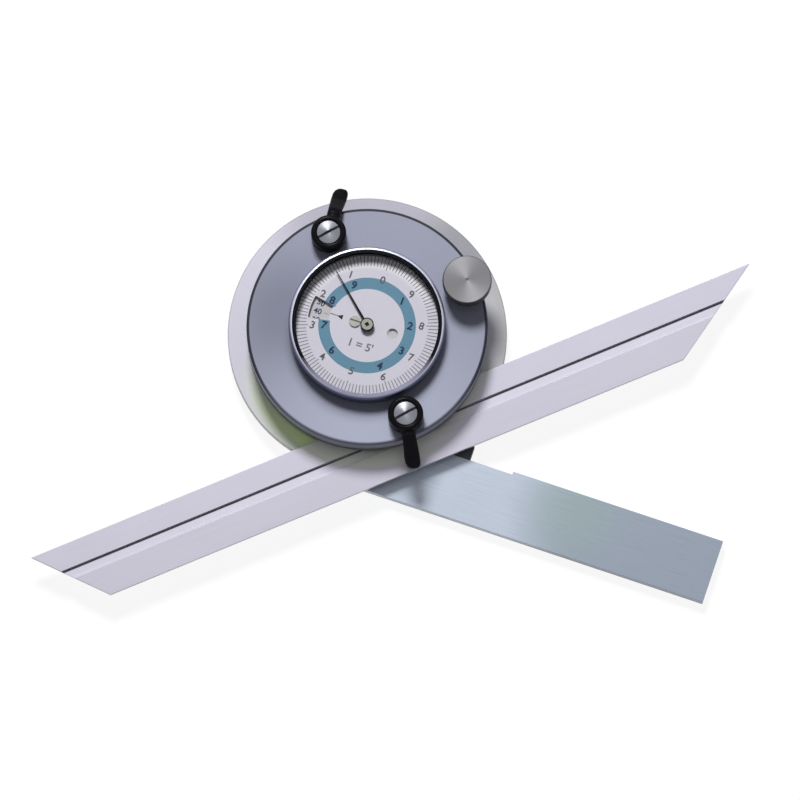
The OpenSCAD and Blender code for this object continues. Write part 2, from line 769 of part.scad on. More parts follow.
module crystal() {
    color([0.85, 0.92, 0.95, 0.3]) on_head() disc_at(z_crystal, crystal_t, crystal_r);
}

module crystal_ring() {
    color([0.82, 0.82, 0.86]) on_head() difference() {
        disc_at(z_crystal_top, crystal_ring_h, bezel_seat_r - fit_gap);
        disc_at(z_crystal_top - overrun, crystal_ring_h + 2 * overrun,
            bezel_seat_r - crystal_ring_w);
    }
}

// Dial plate, with its window a quarter turn before zero
module dial_plate() {
    window_mid = dial_zero_angle + 90;
    h = dial_t + 2 * overrun;
    color([0.86, 0.85, 0.89]) on_head() difference() {
        disc_at(z_dial, dial_t, neck_r);
        disc_at(z_dial - overrun, h, staff_r + 4 * run_gap);
        translate([0, 0, z_dial - overrun]) linear_extrude(height = h) intersection() {
            difference() {
                circle(r = window_outer_r);
                circle(r = window_inner_r);
            }
            polygon([[0, 0], polar(2 * window_outer_r, window_mid - window_span / 2),
                polar(2 * window_outer_r, window_mid + window_span / 2)]);
        }
        rotate([0, 0, window_mid]) translate([dial_screw_at, 0])
            disc_at(z_dial - overrun, h, dial_screw_r + fit_gap);
        rotate([0, 0, window_mid + 180]) translate([peep_at, 0])
            disc_at(z_dial - overrun, h, peep_r);
    }
}

module dial_screw() {
    color([0.70, 0.71, 0.68]) on_head() rotate([0, 0, dial_zero_angle + 90])
        translate([dial_screw_at, 0, z_dial_top + dial_screw_h]) mirror([0, 0, 1])
            cheese_screw(dial_screw_head_r, dial_screw_h, dial_screw_r,
                dial_screw_h + dial_t + dial_screw_reach);
}

// Dial post: it carries the dial, and the tens wheel turns round it
module dial_post() {
    color([0.66, 0.66, 0.68]) on_head() difference() {
        disc_at(z_plate_top, z_dial - z_plate_top, post_r);
        disc_at(z_plate_top - overrun, z_dial - z_plate_top + 2 * overrun,
            staff_r + 4 * run_gap);
        rotate([0, 0, dial_zero_angle + 90]) translate([dial_screw_at, 0])
            disc_at(z_dial - dial_screw_reach - fit_gap, dial_screw_reach + overrun,
                dial_screw_r + fit_gap);
        post_screw_holes();
    }
}

module post_screw_holes() {
    for (a = post_screw_angles) rotate([0, 0, a]) translate([post_screw_at, 0, z_plate])
        flat_screw_hole(post_screw_head_r, post_screw_r, post_screw_reach);
}

module post_screws() {
    color("gray") on_head() for (a = post_screw_angles)
        rotate([0, 0, a]) translate([post_screw_at, 0, z_plate])
            flat_screw(post_screw_head_r, post_screw_r, post_screw_reach);
}

module movement_screw_holes() {
    ring_of(pillar_count, pillar_at, 180 / pillar_count)
        disc_at(z_plate - overrun, z_top - top_t / 4 - z_plate + overrun,
            pillar_screw_r + fit_gap);
}

// Movement plate, hung from the housing's top on pillars
module movement_plate() {
    h = plate_t + 2 * overrun;
    color([0.76, 0.65, 0.38]) on_head() difference() {
        disc_at(z_plate, plate_t, plate_r);
        disc_at(z_plate - overrun, h, staff_r + run_gap);
        translate([-arbor_at, 0]) disc_at(z_plate - overrun, h, staff_r + run_gap);
        for (a = low_pillar_angles) rotate([0, 0, a]) translate([low_pillar_at, 0])
            disc_at(z_plate - overrun, h, low_pin_r + fit_gap);
        movement_screw_holes();
        post_screw_holes();
    }
}

module movement_pillars() {
    color("silver") on_head() difference() {
        ring_of(pillar_count, pillar_at, 180 / pillar_count)
            disc_at(z_plate_top, z_under_top - z_plate_top, pillar_r);
        movement_screw_holes();
    }
}

module movement_screws() {
    color("gray") on_head() ring_of(pillar_count, pillar_at, 180 / pillar_count)
        translate([0, 0, z_plate - pillar_head_h])
            cheese_screw(pillar_head_r, pillar_head_h, pillar_screw_r,
                z_top - top_t / 4 - z_plate + pillar_head_h);
}

// Lower bearing plate, inside the hub, for the lower ends of both arbors
module lower_plate() {
    h = low_plate_t + 2 * overrun;
    color([0.76, 0.65, 0.38]) on_head() difference() {
        disc_at(z_low, low_plate_t, low_plate_r);
        disc_at(z_low - overrun, h, pivot_r + run_gap);
        translate([-arbor_at, 0]) disc_at(z_low - overrun, h, pivot_r + run_gap);
        low_screw_holes();
    }
}

module low_screw_holes() {
    for (a = low_pillar_angles) rotate([0, 0, a]) translate([low_pillar_at, 0, z_low])
        flat_screw_hole(low_screw_head_r, low_screw_r, low_screw_reach);
}

module lower_pillars() {
    color("silver") on_head() difference() {
        for (a = low_pillar_angles) rotate([0, 0, a]) translate([low_pillar_at, 0]) {
            disc_at(z_low_top, z_plate - z_low_top, low_pillar_r);
            disc_at(z_low_top, z_plate_top - z_low_top, low_pin_r);
        }
        low_screw_holes();
    }
}

module lower_plate_screws() {
    color("gray") on_head() for (a = low_pillar_angles)
        rotate([0, 0, a]) translate([low_pillar_at, 0, z_low])
            flat_screw(low_screw_head_r, low_screw_r, low_screw_reach);
}

// Shoulder screw that the idler turns on, set in the floor plate
module idler_stud() {
    z_head = z_ring_top + face_gap;
    color("gray") on_head() translate(idler_place) difference() {
        union() {
            disc_at(z_channel + face_gap, z_head - z_channel, idler_thread_r);
            disc_at(z_floor_top, z_head - z_floor_top, idler_stud_r);
            disc_at(z_head, idler_head_h, idler_head_r);
        }
        translate([0, 0, z_head + idler_head_h]) mirror([0, 0, 1])
            translate([-idler_head_r, -slot_w_share * idler_head_r / 2, -overrun])
                cube([2 * idler_head_r, slot_w_share * idler_head_r,
                    overrun + idler_head_h / 2]);
    }
}

// Flanged bushes that the two lever screws turn in
module lever_bushes() {
    color([0.70, 0.60, 0.35]) on_head() for (side = [-1, 1])
        translate([0, side * lever_at]) difference() {
            union() {
                disc_at(z_bush, z_top - z_bush, lever_screw_r + bush_wall);
                disc_at(z_top, bush_flange_t, bush_flange_r);
            }
            disc_at(z_bush - overrun, z_lever - z_bush + 2 * overrun,
                lever_screw_r + run_gap);
        }
}

module knob_bush() {
    color([0.45, 0.44, 0.42]) on_head() translate([knob_at, 0]) difference() {
        union() {
            disc_at(z_bush, z_top - z_bush, knob_shaft_r + knob_bush_wall);
            disc_at(z_top, knob_flange_t, knob_shaft_r + 2 * knob_bush_wall);
        }
        disc_at(z_bush - overrun, z_knob - z_bush + 2 * overrun, knob_shaft_r + run_gap);
    }
}

// Transfer arbor: its pinion rolls inside the gear ring
module transfer_arbor() {
    color("silver") on_head() translate([-arbor_at, 0]) {
        disc_at(z_low + pivot_sink, z_ring - z_low, pivot_r);
        disc_at(z_low_top + face_gap, z_plate - face_gap - z_low_top - face_gap,
            arbor_body_r);
        disc_at(z_gear_top, z_tens - z_gear_top, staff_r);
        disc_at(z_gear_top, z_tens_top - z_gear_top, arbor_spigot_r);
        spur_gear(arbor_teeth, arbor_pitch_r, inner_module, z_ring, ring_t);
    }
}

module transfer_gear() {
    color([0.80, 0.68, 0.38]) on_head() translate([-arbor_at, 0]) difference() {
        spur_gear(wheel_teeth, wheel_pitch_r, train_module, z_gear, gear_t);
        disc_at(z_gear - overrun, gear_t + 2 * overrun, arbor_body_r + fit_gap);
    }
}

module tens_pinion() {
    color([0.80, 0.68, 0.38]) on_head() translate([-arbor_at, 0]) difference() {
        spur_gear(pinion_teeth, pinion_pitch_r, train_module, z_tens, gear_t);
        disc_at(z_tens - overrun, gear_t + 2 * overrun, arbor_spigot_r + fit_gap);
    }
}

// Pointer arbor, through the dial post to the pointer
module pointer_arbor() {
    color("silver") on_head() {
        disc_at(z_low + pivot_sink, z_ring - z_low, pivot_r);
        disc_at(z_low_top + face_gap, z_pointer_hub - z_low_top, staff_r);
        spur_gear(pinion_teeth, pinion_pitch_r, train_module, z_pinion, pinion_h,
            pinion_pitch / 2);
    }
}

// Pointer: a tapered hand on a hub with a square socket in its top
module pointer() {
    z_hub_top = z_pointer_hub + pointer_hub_h;
    color([0.12, 0.12, 0.16]) on_head() rotate([0, 0, pointer_angle]) difference() {
        union() {
            disc_at(z_pointer_hub, pointer_hub_h, pointer_hub_r);
            translate([0, 0, z_pointer]) linear_extrude(height = pointer_t) polygon([
                [-pointer_tail, -pointer_w / 2], [pointer_hub_r, -pointer_w / 2],
                [pointer_len, -pointer_tip_w / 2], [pointer_len, pointer_tip_w / 2],
                [pointer_hub_r, pointer_w / 2], [-pointer_tail, pointer_w / 2]]);
        }
        disc_at(z_pointer_hub - overrun, face_gap + overrun + fit_gap, staff_r + fit_gap);
        translate([-socket_w / 2, -socket_w / 2, z_hub_top - socket_depth])
            cube([socket_w, socket_w, socket_depth + overrun]);
    }
}

// Tens wheel: teeth at the bottom, and a tube up to the tens disc
module tens_wheel() {
    color([0.80, 0.68, 0.38]) on_head() difference() {
        union() {
            spur_gear(wheel_teeth, wheel_pitch_r, train_module, z_tens, gear_t,
                wheel_pitch / 2);
            disc_at(z_tens, z_tens_disc - z_tens, tube_r);
            disc_at(z_tens, z_tens_disc_top - z_tens, tube_spigot_r);
        }
        disc_at(z_tens - overrun, z_dial - z_tens + overrun, post_r + run_gap);
    }
}

module tens_disc() {
    color([0.72, 0.73, 0.73]) on_head() difference() {
        disc_at(z_tens_disc, tens_disc_t, tens_disc_r);
        disc_at(z_tens_disc - overrun, tens_disc_t + 2 * overrun, tube_spigot_r + fit_gap);
    }
}

module idler_gear() {
    color([0.80, 0.68, 0.38]) on_head() translate(idler_place) difference() {
        spur_gear(idler_teeth, idler_pitch_r, outer_module, z_ring, ring_t, idler_phase);
        disc_at(z_ring - overrun, ring_t + 2 * overrun, idler_stud_r + run_gap);
    }
}

// Outline of the knurled rim: a fine zigzag round the knob
function knurl_outline() = [for (i = [0:2 * knurl_count - 1])
    polar(knob_r - knurl_depth * (i % 2), 180 * i / knurl_count)];

// Knob: a knurled rim on a narrower neck
module knob() {
    color([0.62, 0.63, 0.60]) on_head() translate([knob_at, 0]) difference() {
        union() {
            disc_at(z_knob, z_knob_rim + knob_chamfer - z_knob, knob_neck_r);
            translate([0, 0, z_knob_rim]) intersection() {
                linear_extrude(height = knob_h) polygon(knurl_outline());
                rotate_extrude() polygon([
                    [0, 0], [knob_r - knob_chamfer, 0],
                    [knob_r + knob_chamfer, 2 * knob_chamfer],
                    [knob_r + knob_chamfer, knob_h - 2 * knob_chamfer],
                    [knob_r - knob_chamfer, knob_h], [0, knob_h]]);
            }
        }
        disc_at(z_knob - overrun, z_knob_bore - z_knob + overrun, knob_shaft_r + fit_gap);
        translate([0, 0, z_knob_top - knob_dimple_r])
            cylinder(h = knob_dimple_r + fit_gap, r1 = 0, r2 = knob_dimple_r);
        knob_set_screw_hole();
    }
}

module knob_set_screw_hole() {
    translate([0, 0, z_knob + knob_neck_h / 2]) rotate([0, 90, 0])
        cylinder(h = knob_neck_r + overrun, r = set_screw_r + fit_gap);
}

// Set screw in the neck, which holds the knob on its shaft
module knob_set_screw() {
    reach = knob_neck_r - knob_shaft_r - 2 * fit_gap;
    color([0.20, 0.20, 0.22]) on_head() translate([knob_at, 0, z_knob + knob_neck_h / 2])
        rotate([0, 90, 0]) difference() {
            translate([0, 0, knob_shaft_r + fit_gap]) cylinder(h = reach, r = set_screw_r);
            translate([-set_screw_r, -slot_w_share * set_screw_r,
                knob_shaft_r + reach - slot_depth_share * set_screw_r])
                cube([2 * set_screw_r, 2 * slot_w_share * set_screw_r,
                    set_screw_r + overrun]);
        }
}

// Knob shaft, with its pinion beside the gear ring
module knob_shaft() {
    color("silver") on_head() translate([knob_at, 0]) {
        disc_at(z_floor_top - knob_pivot_h, z_ring + ring_t / 2 - z_floor_top + knob_pivot_h,
            knob_pivot_r);
        spur_gear(knob_teeth, knob_pitch_r, outer_module, z_ring, ring_t, knob_phase);
        disc_at(z_ring_top - ring_t / 4, z_knob_bore - z_ring_top + ring_t / 4 - fit_gap,
            knob_shaft_r);
        disc_at(z_bush - face_gap / 2 - knob_collar_t, knob_collar_t,
            knob_shaft_r + knob_bush_wall * 0.8);
    }
}

// Blade, with an undercut groove along its whole length
module blade() {
    length = blade_left + blade_right;
    color([0.80, 0.79, 0.86]) on_head() difference() {
        translate([0, 0, z_blade]) linear_extrude(height = blade_t) polygon([
            [-blade_left, -blade_edge_at], [blade_cut_left - blade_left, blade_low_y],
            [blade_right - blade_cut_right, blade_low_y], [blade_right, -blade_edge_at]]);
        translate([-blade_left - overrun, groove_low_y, z_groove])
            cube([length + 2 * overrun, groove_w, groove_depth + overrun]);
        translate([-blade_left - overrun, groove_low_y, z_groove])
            cube([length + 2 * overrun, groove_w + undercut, undercut_h]);
    }
}

// Cross-section of a lever's handle: a flattened bead for the hulls
module lever_bead(along, z, w, h) {
    translate([along, 0, z]) scale([w / 2, w / 2, h / 2]) sphere(r = 1, $fn = 24);
}

// Lever: a hub round the screw, and a handle that drops towards its tip
module lever(angle) {
    z_neck = z_lever + 0.5 * lever_hub_h;
    neck_h = 0.6 * lever_hub_h;
    tip_h = 0.5 * lever_hub_h;
    tip_at = lever_len - lever_tip_w / 2;
    rotate([0, 0, angle]) difference() {
        union() {
            rotate_extrude() polygon(concat(
                [[0, z_lever], [lever_hub_r - housing_chamfer, z_lever],
                 [lever_hub_r, z_lever + housing_chamfer]],
                corner([lever_hub_r - housing_chamfer, z_lever_top - housing_chamfer],
                    housing_chamfer, 0, 90),
                [[0, z_lever_top]]));
            hull() {
                lever_bead(lever_hub_r - lever_neck_w / 2, z_neck, lever_neck_w, neck_h);
                lever_bead(lever_bend_at, z_neck, lever_neck_w, neck_h);
            }
            hull() {
                lever_bead(lever_bend_at, z_neck, lever_neck_w, neck_h);
                lever_bead(tip_at, z_neck - lever_drop, lever_tip_w, tip_h);
            }
        }
        disc_at(z_lever_seat, lever_recess + overrun, lever_screw_head_r + run_gap);
        disc_at(z_lever - overrun, lever_hub_h, lever_screw_r + fit_gap);
    }
}

// Lever screw: crowned slotted head, shank in the bush, and a threaded end
module lever_screw() {
    head_h = z_lever_top + lever_head_crown - z_lever_seat;
    z_head_top = z_lever_seat + head_h;
    difference() {
        union() {
            intersection() {
                disc_at(z_lever_seat, head_h, lever_screw_head_r);
                translate([0, 0, z_head_top - lever_screw_crown_r])
                    sphere(r = lever_screw_crown_r);
            }
            disc_at(z_collar_top, z_lever_seat + fit_gap - z_collar_top, lever_screw_r);
            disc_at(z_nut_bore + thread_tip_gap, z_collar_top - z_nut_bore, lever_thread_r);
        }
        translate([0, 0, z_head_top - slot_depth_share * lever_screw_head_r])
            rotate([0, 0, lever_slot_angle])
                translate([-lever_screw_head_r, -slot_w_share * lever_screw_head_r / 2, 0])
                    cube([2 * lever_screw_head_r, slot_w_share * lever_screw_head_r,
                        slot_depth_share * lever_screw_head_r + overrun]);
    }
}

// Collar that keeps a lever screw up against its bush
module lever_collar() {
    difference() {
        disc_at(z_collar, collar_t, collar_r);
        disc_at(z_collar - overrun, collar_t + 2 * overrun, lever_thread_r + fit_gap);
    }
}

module lock_lever() {
    color([0.07, 0.07, 0.09]) on_head() translate([0, lever_at]) lever(lock_lever_angle);
}

module lock_screw() {
    color([0.75, 0.75, 0.78]) on_head() translate([0, lever_at]) lever_screw();
}

module lock_collar() {
    color("gray") on_head() translate([0, lever_at]) lever_collar();
}

// Lock shoe: a guided square nut whose foot meets the base disc
module lock_shoe() {
    color([0.50, 0.50, 0.54]) on_head() translate([0, lever_at]) difference() {
        translate([-jaw_w / 2, -jaw_w / 2, z_shoe])
            cube([jaw_w, jaw_w, z_nut_top - z_shoe]);
        disc_at(z_nut_bore, z_nut_top - z_nut_bore + overrun, lever_thread_r + run_gap);
    }
}

module clamp_lever() {
    color([0.07, 0.07, 0.09]) on_head() translate([0, -lever_at]) lever(clamp_lever_angle);
}

module clamp_screw() {
    color([0.75, 0.75, 0.78]) on_head() translate([0, -lever_at]) lever_screw();
}

module clamp_collar() {
    color("gray") on_head() translate([0, -lever_at]) lever_collar();
}

// Clamp jaw: a guided nut with a foot in the groove and a toe under its lip
module clamp_jaw() {
    foot_top_y = groove_top_y - jaw_gap;
    color([0.50, 0.50, 0.54]) on_head() difference() {
        union() {
            translate([-jaw_w / 2, jaw_low_y, z_channel])
                cube([jaw_w, jaw_inner_y - jaw_low_y, z_jaw_shelf - z_channel]);
            translate([-jaw_w / 2, jaw_nut_low_y, z_channel])
                cube([jaw_w, jaw_w, z_nut_top - z_channel]);
            translate([-jaw_w / 2, jaw_low_y, z_jaw_foot])
                cube([jaw_w, foot_top_y - jaw_low_y, z_channel - z_jaw_foot + overrun]);
            translate([-jaw_w / 2, jaw_low_y, z_jaw_foot])
                cube([jaw_w, foot_top_y - jaw_low_y + jaw_gap + jaw_toe,
                    z_jaw_toe_top - z_jaw_foot]);
        }
        translate([0, -lever_at])
            disc_at(z_nut_bore, z_nut_top - z_nut_bore + overrun, lever_thread_r + run_gap);
    }
}

base_disc();
stock();
stock_bracket();
stock_screws();
stock_dowels();
bracket_screws();
base_hub();
hub_screws();
gear_ring();
ring_screws();
floor_plate();
floor_screws();
housing();
bezel();
crystal();
crystal_ring();
dial_plate();
dial_screw();
dial_post();
post_screws();
movement_plate();
movement_pillars();
movement_screws();
lower_plate();
lower_pillars();
lower_plate_screws();
idler_stud();
lever_bushes();
knob_bush();
transfer_arbor();
transfer_gear();
tens_pinion();
pointer_arbor();
pointer();
tens_wheel();
tens_disc();
idler_gear();
knob();
knob_shaft();
knob_set_screw();
blade();
lock_lever();
lock_screw();
lock_collar();
lock_shoe();
clamp_lever();
clamp_screw();
clamp_collar();
clamp_jaw();
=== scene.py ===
# %% [markdown]
# # Dressing a dial angle finder in Blender
#
# The solids of this tool were drawn in a CAD program and packed as one model. This lesson
# loads them as a fixed frame, gives every piece a finish made from shader nodes, prints the
# dial, and sets up a camera and soft light. All lengths are in metres.

# %% Load the frame
import json
import math

import bmesh
import bpy
from mathutils import Matrix, Vector


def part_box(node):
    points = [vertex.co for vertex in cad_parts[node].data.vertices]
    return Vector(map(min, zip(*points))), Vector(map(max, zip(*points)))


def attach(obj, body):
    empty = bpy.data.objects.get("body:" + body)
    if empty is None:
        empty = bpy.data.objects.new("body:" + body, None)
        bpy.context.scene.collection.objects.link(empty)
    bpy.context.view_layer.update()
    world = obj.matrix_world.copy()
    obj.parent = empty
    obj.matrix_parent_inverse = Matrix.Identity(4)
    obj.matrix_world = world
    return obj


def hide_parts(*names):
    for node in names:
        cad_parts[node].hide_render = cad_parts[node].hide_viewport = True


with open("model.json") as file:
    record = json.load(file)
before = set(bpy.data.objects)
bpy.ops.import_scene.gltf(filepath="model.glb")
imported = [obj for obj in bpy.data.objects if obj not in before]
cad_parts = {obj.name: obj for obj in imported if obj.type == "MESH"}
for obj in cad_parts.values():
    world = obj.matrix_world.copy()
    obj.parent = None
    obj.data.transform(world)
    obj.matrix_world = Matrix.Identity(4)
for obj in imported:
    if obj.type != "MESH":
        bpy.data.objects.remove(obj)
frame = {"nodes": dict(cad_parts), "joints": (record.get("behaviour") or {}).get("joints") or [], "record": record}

scene = bpy.context.scene
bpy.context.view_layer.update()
nodes = frame["nodes"]
joints = {joint["name"]: joint for joint in frame["joints"]}
slot_of = {row["node"]: row["material_slot"] for row in frame["record"]["subparts"]}

# %% [markdown]
# ## Directions and sizes that everything else is measured from
#
# The pivot is at the origin and the fixed stock lies along +X. The blade leaves the pivot at
# the angle that the dial reads, so its direction is read from the joint that slides it, and
# the axes of the levers and the knob are read from theirs. Heights and radii are read from
# the pieces. The photograph was taken from AZIMUTH degrees round and ELEVATION degrees up.

# %% Read the directions, the axes and the sizes
def top_of(node):
    """The height of a node's highest point."""
    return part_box(node)[1].z


def radius_of(node):
    """Half the width of a round node."""
    low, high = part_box(node)
    return (high.x - low.x) / 2


MM = 0.001
AZIMUTH, ELEVATION = 18.68, 78.95
slide = Vector(joints["blade_slide"]["axis"])
READING = math.degrees(math.atan2(slide.y, slide.x))
KNOB_AXIS = Vector(joints["knob_turn"]["pos_m"])
LOCK_AXIS = Vector(joints["lock_lever_turn"]["pos_m"])
CLAMP_AXIS = Vector(joints["clamp_lever_turn"]["pos_m"])
HEAD_R = radius_of("housing")
KNOB_R = radius_of("knob")
BLADE_TOP = top_of("blade")
DIAL_TOP = top_of("dial_plate")
TENS_TOP = top_of("tens_disc")
LID_TOP = max(v.co.z for v in nodes["housing"].data.vertices
              if v.co.xy.length > HEAD_R - 2 * MM)
print("the dial reads %.2f degrees" % READING)
print("the knob's axis is at", tuple(round(c / MM, 2) for c in KNOB_AXIS))
print("the blade's top is at z = %.1f mm, the lid's rim at z = %.1f mm" % (
    BLADE_TOP / MM, LID_TOP / MM))

# %% [markdown]
# ## Helpers for shader nodes
#
# A finish is a small tree of nodes. One helper adds a node and feeds its sockets, with either
# a value or a link, and a class keeps the tree, its shader and its coordinates together.
# Object coordinates are used throughout: each object sits at the origin, so they are the
# part's own metres, and a pattern stays on its piece when a joint moves.

# %% Add a node and feed its sockets
def feed(tree, socket, value):
    """Give a socket a value, or a link where the value is another node's socket."""
    if isinstance(value, bpy.types.NodeSocket):
        tree.links.new(value, socket)
    else:
        socket.default_value = value


def add_node(tree, kind, inputs=None, **settings):
    """Add a node with its settings, and feed the inputs, which go by name or by number."""
    node = tree.nodes.new(kind)
    for name, value in settings.items():
        setattr(node, name, value)
    for key, value in (inputs or {}).items():
        feed(tree, node.inputs[key], value)
    return node


def colour(red, green, blue):
    """A display colour, 0 to 255, as the linear colour that a socket holds."""
    def linear(part):
        part /= 255
        return part / 12.92 if part <= 0.04045 else ((part + 0.055) / 1.055) ** 2.4
    return (linear(red), linear(green), linear(blue), 1.0)


# %% [markdown]
# Most helpers of the class turn a place on the part into a share from 0 to 1. A tone is then
# laid over the tones before it by that share, so a finish reads from its bottom coat upwards.

# %% The finish class
finishes = {}


class Finish:
    """A material with one Principled shader, and helpers that build what feeds it."""

    SOCKETS = {"base": "Base Color", "metal": "Metallic", "rough": "Roughness",
               "normal": "Normal", "coat": "Coat Weight", "coat_rough": "Coat Roughness",
               "aniso": "Anisotropic", "tangent": "Tangent", "alpha": "Alpha",
               "ior": "IOR", "specular": "Specular IOR Level"}

    def __init__(self, name):
        self.material = bpy.data.materials.new(name)
        self.material.use_nodes = True
        self.tree = self.material.node_tree
        self.shader = self.tree.nodes["Principled BSDF"]
        self.spot = self.add("ShaderNodeTexCoord").outputs["Object"]
        finishes[name] = self

    def add(self, kind, inputs=None, **settings):
        return add_node(self.tree, kind, inputs, **settings)

    def math(self, operation, *values):
        return self.add("ShaderNodeMath", dict(enumerate(values)),
                        operation=operation).outputs[0]

    def both(self, first, second):
        """The product of two shares."""
        return self.math("MULTIPLY", first, second)

    def scaled(self, vector, scale):
        return self.add("ShaderNodeVectorMath", {0: vector, 1: scale},
                        operation="MULTIPLY").outputs[0]

    def axis(self, vector, name):
        return self.add("ShaderNodeSeparateXYZ", {0: vector}).outputs[name]

    def turned(self, centre=(0, 0), degrees=0):
        """Object coordinates about a centre, in metres, turned so that X runs that way."""
        turn = Matrix.Rotation(-math.radians(degrees), 3, "Z")
        shift = turn @ Vector((centre[0], centre[1], 0))
        return self.add("ShaderNodeMapping", {
            "Vector": self.spot, "Location": -shift,
            "Rotation": (0, 0, -math.radians(degrees))}).outputs[0]

    def in_view(self, name):
        """How far the point lies along the photograph's X or Y, in metres."""
        return self.axis(self.turned(degrees=AZIMUTH), name)

    def height(self):
        return self.axis(self.spot, "Z")

    def spoke(self, centre=(0, 0)):
        """The level way from an upright axis to the point, in metres."""
        return self.scaled(self.turned(centre), (1, 1, 0))

    def reach(self, centre=(0, 0)):
        """Distance from an upright axis, in metres."""
        return self.add("ShaderNodeVectorMath", {0: self.spoke(centre)},
                        operation="LENGTH").outputs[1]

    def noise(self, vector, scale, detail=3.0, roughness=0.55):
        return self.add("ShaderNodeTexNoise", {
            "Vector": vector, "Scale": scale, "Detail": detail,
            "Roughness": roughness}).outputs[0]

    def span(self, value, low, high, to_low=0.0, to_high=1.0, smooth=False):
        """Map a value from one range to another, held at the ends."""
        kind = "SMOOTHSTEP" if smooth else "LINEAR"
        return self.add("ShaderNodeMapRange", {
            "Value": value, "From Min": low, "From Max": high,
            "To Min": to_low, "To Max": to_high}, interpolation_type=kind).outputs[0]

    def mix(self, share, first, second):
        return self.add("ShaderNodeMix", {0: share, 6: first, 7: second},
                        data_type="RGBA").outputs[2]

    def set(self, **values):
        """Feed the shader's sockets, by their short names."""
        for name, value in values.items():
            feed(self.tree, self.shader.inputs[self.SOCKETS[name]], value)
        return self

    def lay(self, share, tint):
        """Lay a tone over the base colour as it is so far."""
        under = self.shader.inputs["Base Color"].links[0].from_socket
        return self.set(base=self.mix(share, under, tint))

    def wash(self, centre, inner, outer, tint, strength):
        """Lay a round patch, full inside one radius and gone outside the other."""
        share = self.span(self.reach(centre), inner, outer, strength, 0.0, smooth=True)
        return self.lay(share, tint)

    def spin(self, spoke, amount):
        """Pull the highlights across the rings of a turned face, along its spokes."""
        unit = self.add("ShaderNodeVectorMath", {0: spoke}, operation="NORMALIZE").outputs[0]
        tangent = self.add("ShaderNodeVectorTransform", {0: unit}, vector_type="VECTOR",
                           convert_from="OBJECT", convert_to="WORLD").outputs[0]
        return self.set(aniso=amount, tangent=tangent)

    def relief(self, height, strength, depth, soft=0.0):
        """A bump, over corners that are softened by a bevel of that radius."""
        inputs = {"Height": height, "Strength": strength, "Distance": depth}
        if soft:
            inputs["Normal"] = self.add("ShaderNodeBevel", {"Radius": soft},
                                        samples=4).outputs[0]
        return self.set(normal=self.add("ShaderNodeBump", inputs).outputs[0])


print("the finish class feeds", len(Finish.SOCKETS), "sockets")

# %% [markdown]
# ## Ground, turned and brushed metal
#
# Most of this tool is steel. Its look comes from three things: slow clouds in the tone, fine
# lines that the grinding wheel or the lathe left, and corners that catch the light. One
# function makes them all, with a straight grain for flat stock and a ring grain for what was
# turned. The ring grain is noise read along the radius, so its lines are true circles.

# %% One function for every metal
CLOUD_TONE, LINE_TONE = colour(20, 22, 28), colour(60, 62, 70)
CLOUDS_PER_M, SPECKS_PER_M = 45, 1600
LINE_DEPTH, ROUGH_SWING = 0.03 * MM, 0.06


def metal(name, tint, metallic=0.55, rough=0.4, cloud=0.05, grain=None, rings=None,
          soft=0.2 * MM, fine=0.03, washes=()):
    """A metal finish. cloud and fine are the shares of the clouds and of the fine lines.

    grain is a direction in degrees, then how many lines go to a metre across it and along
    it. rings is a centre, then the lines to a metre. Without either, the lines are specks.
    """
    look = Finish(name)
    clouds = look.span(look.noise(look.spot, CLOUDS_PER_M, 2), 0.35, 0.65, 0, cloud)
    look.set(base=look.mix(clouds, tint, CLOUD_TONE), metal=metallic)
    for wash in washes:
        look.wash(*wash)
    if rings:
        centre, across = rings
        lines = look.add("ShaderNodeTexNoise", {
            "W": look.math("MULTIPLY", look.reach(centre), across), "Scale": 1.0,
            "Detail": 3.0}, noise_dimensions="1D").outputs[0]
    elif grain:
        degrees, across, along = grain
        drawn_out = look.scaled(look.turned(degrees=degrees), (along, across, across))
        lines = look.noise(drawn_out, 1.0, 4, 0.6)
    else:
        lines = look.noise(look.spot, SPECKS_PER_M, 3)
    look.lay(look.span(lines, 0.3, 0.7, 0, fine), LINE_TONE)
    look.set(rough=look.span(lines, 0.25, 0.75, rough - ROUGH_SWING, rough + ROUGH_SWING))
    return look.relief(lines, 0.25, LINE_DEPTH, soft)


# %% [markdown]
# ### The base disc, the stock and the blade
#
# In the photograph these three are pale lavender steel. On the disc a painted reflection makes it
# greyer on the right, two patches of painted shade darken it at the top, and a painted olive
# reflection lies on the part below the head. The blade takes a little of the olive reflection
# where it crosses the disc, and the stock is darker towards its tip. All of this is tinted in
# the part's own coordinates, so it moves with its piece.
# The lid ends 46.5 mm from the pivot and the disc 54.1 mm, and the pairs of radii below lie
# about the ring between them: a tone starts at one and is full, or gone, at the other.

# %% The disc's steel, its painted shade and its painted reflections
OLIVE_REFLECTION_SPOT = (0.0135, -0.0400)
RING_IN_SIGHT = (0.0480, 0.0525)
OLIVE_REFLECTION_RING = (0.0490, 0.0535)
# The wash in the disc's finish is painted shade that darkens the disc at the top.
disc = metal("disc_steel", colour(188, 186, 198), 0.25, 0.48, 0.03, rings=((0, 0), 2600),
             washes=[((-0.0173, 0.0511), 0.020, 0.048, colour(160, 158, 170), 1.0)])
# Painted reflection: the disc is greyer towards the right, and less so beside the lid on the near side, where the
# head's real shadow falls.
rightward = disc.span(disc.in_view("X"), 0.010, 0.048, 0, 0.85, smooth=True)
upward = disc.span(disc.in_view("Y"), 0.0, 0.020, 0, 1)
past_lid = disc.span(disc.reach(), *RING_IN_SIGHT, 0.3, 1)
disc.lay(disc.both(rightward, disc.math("MAXIMUM", past_lid, upward)), colour(163, 163, 163))
# A second patch of painted shade darkens the disc at the upper right.
disc.wash((0.0230, 0.0445), 0.004, 0.024, colour(124, 124, 132), 0.75)
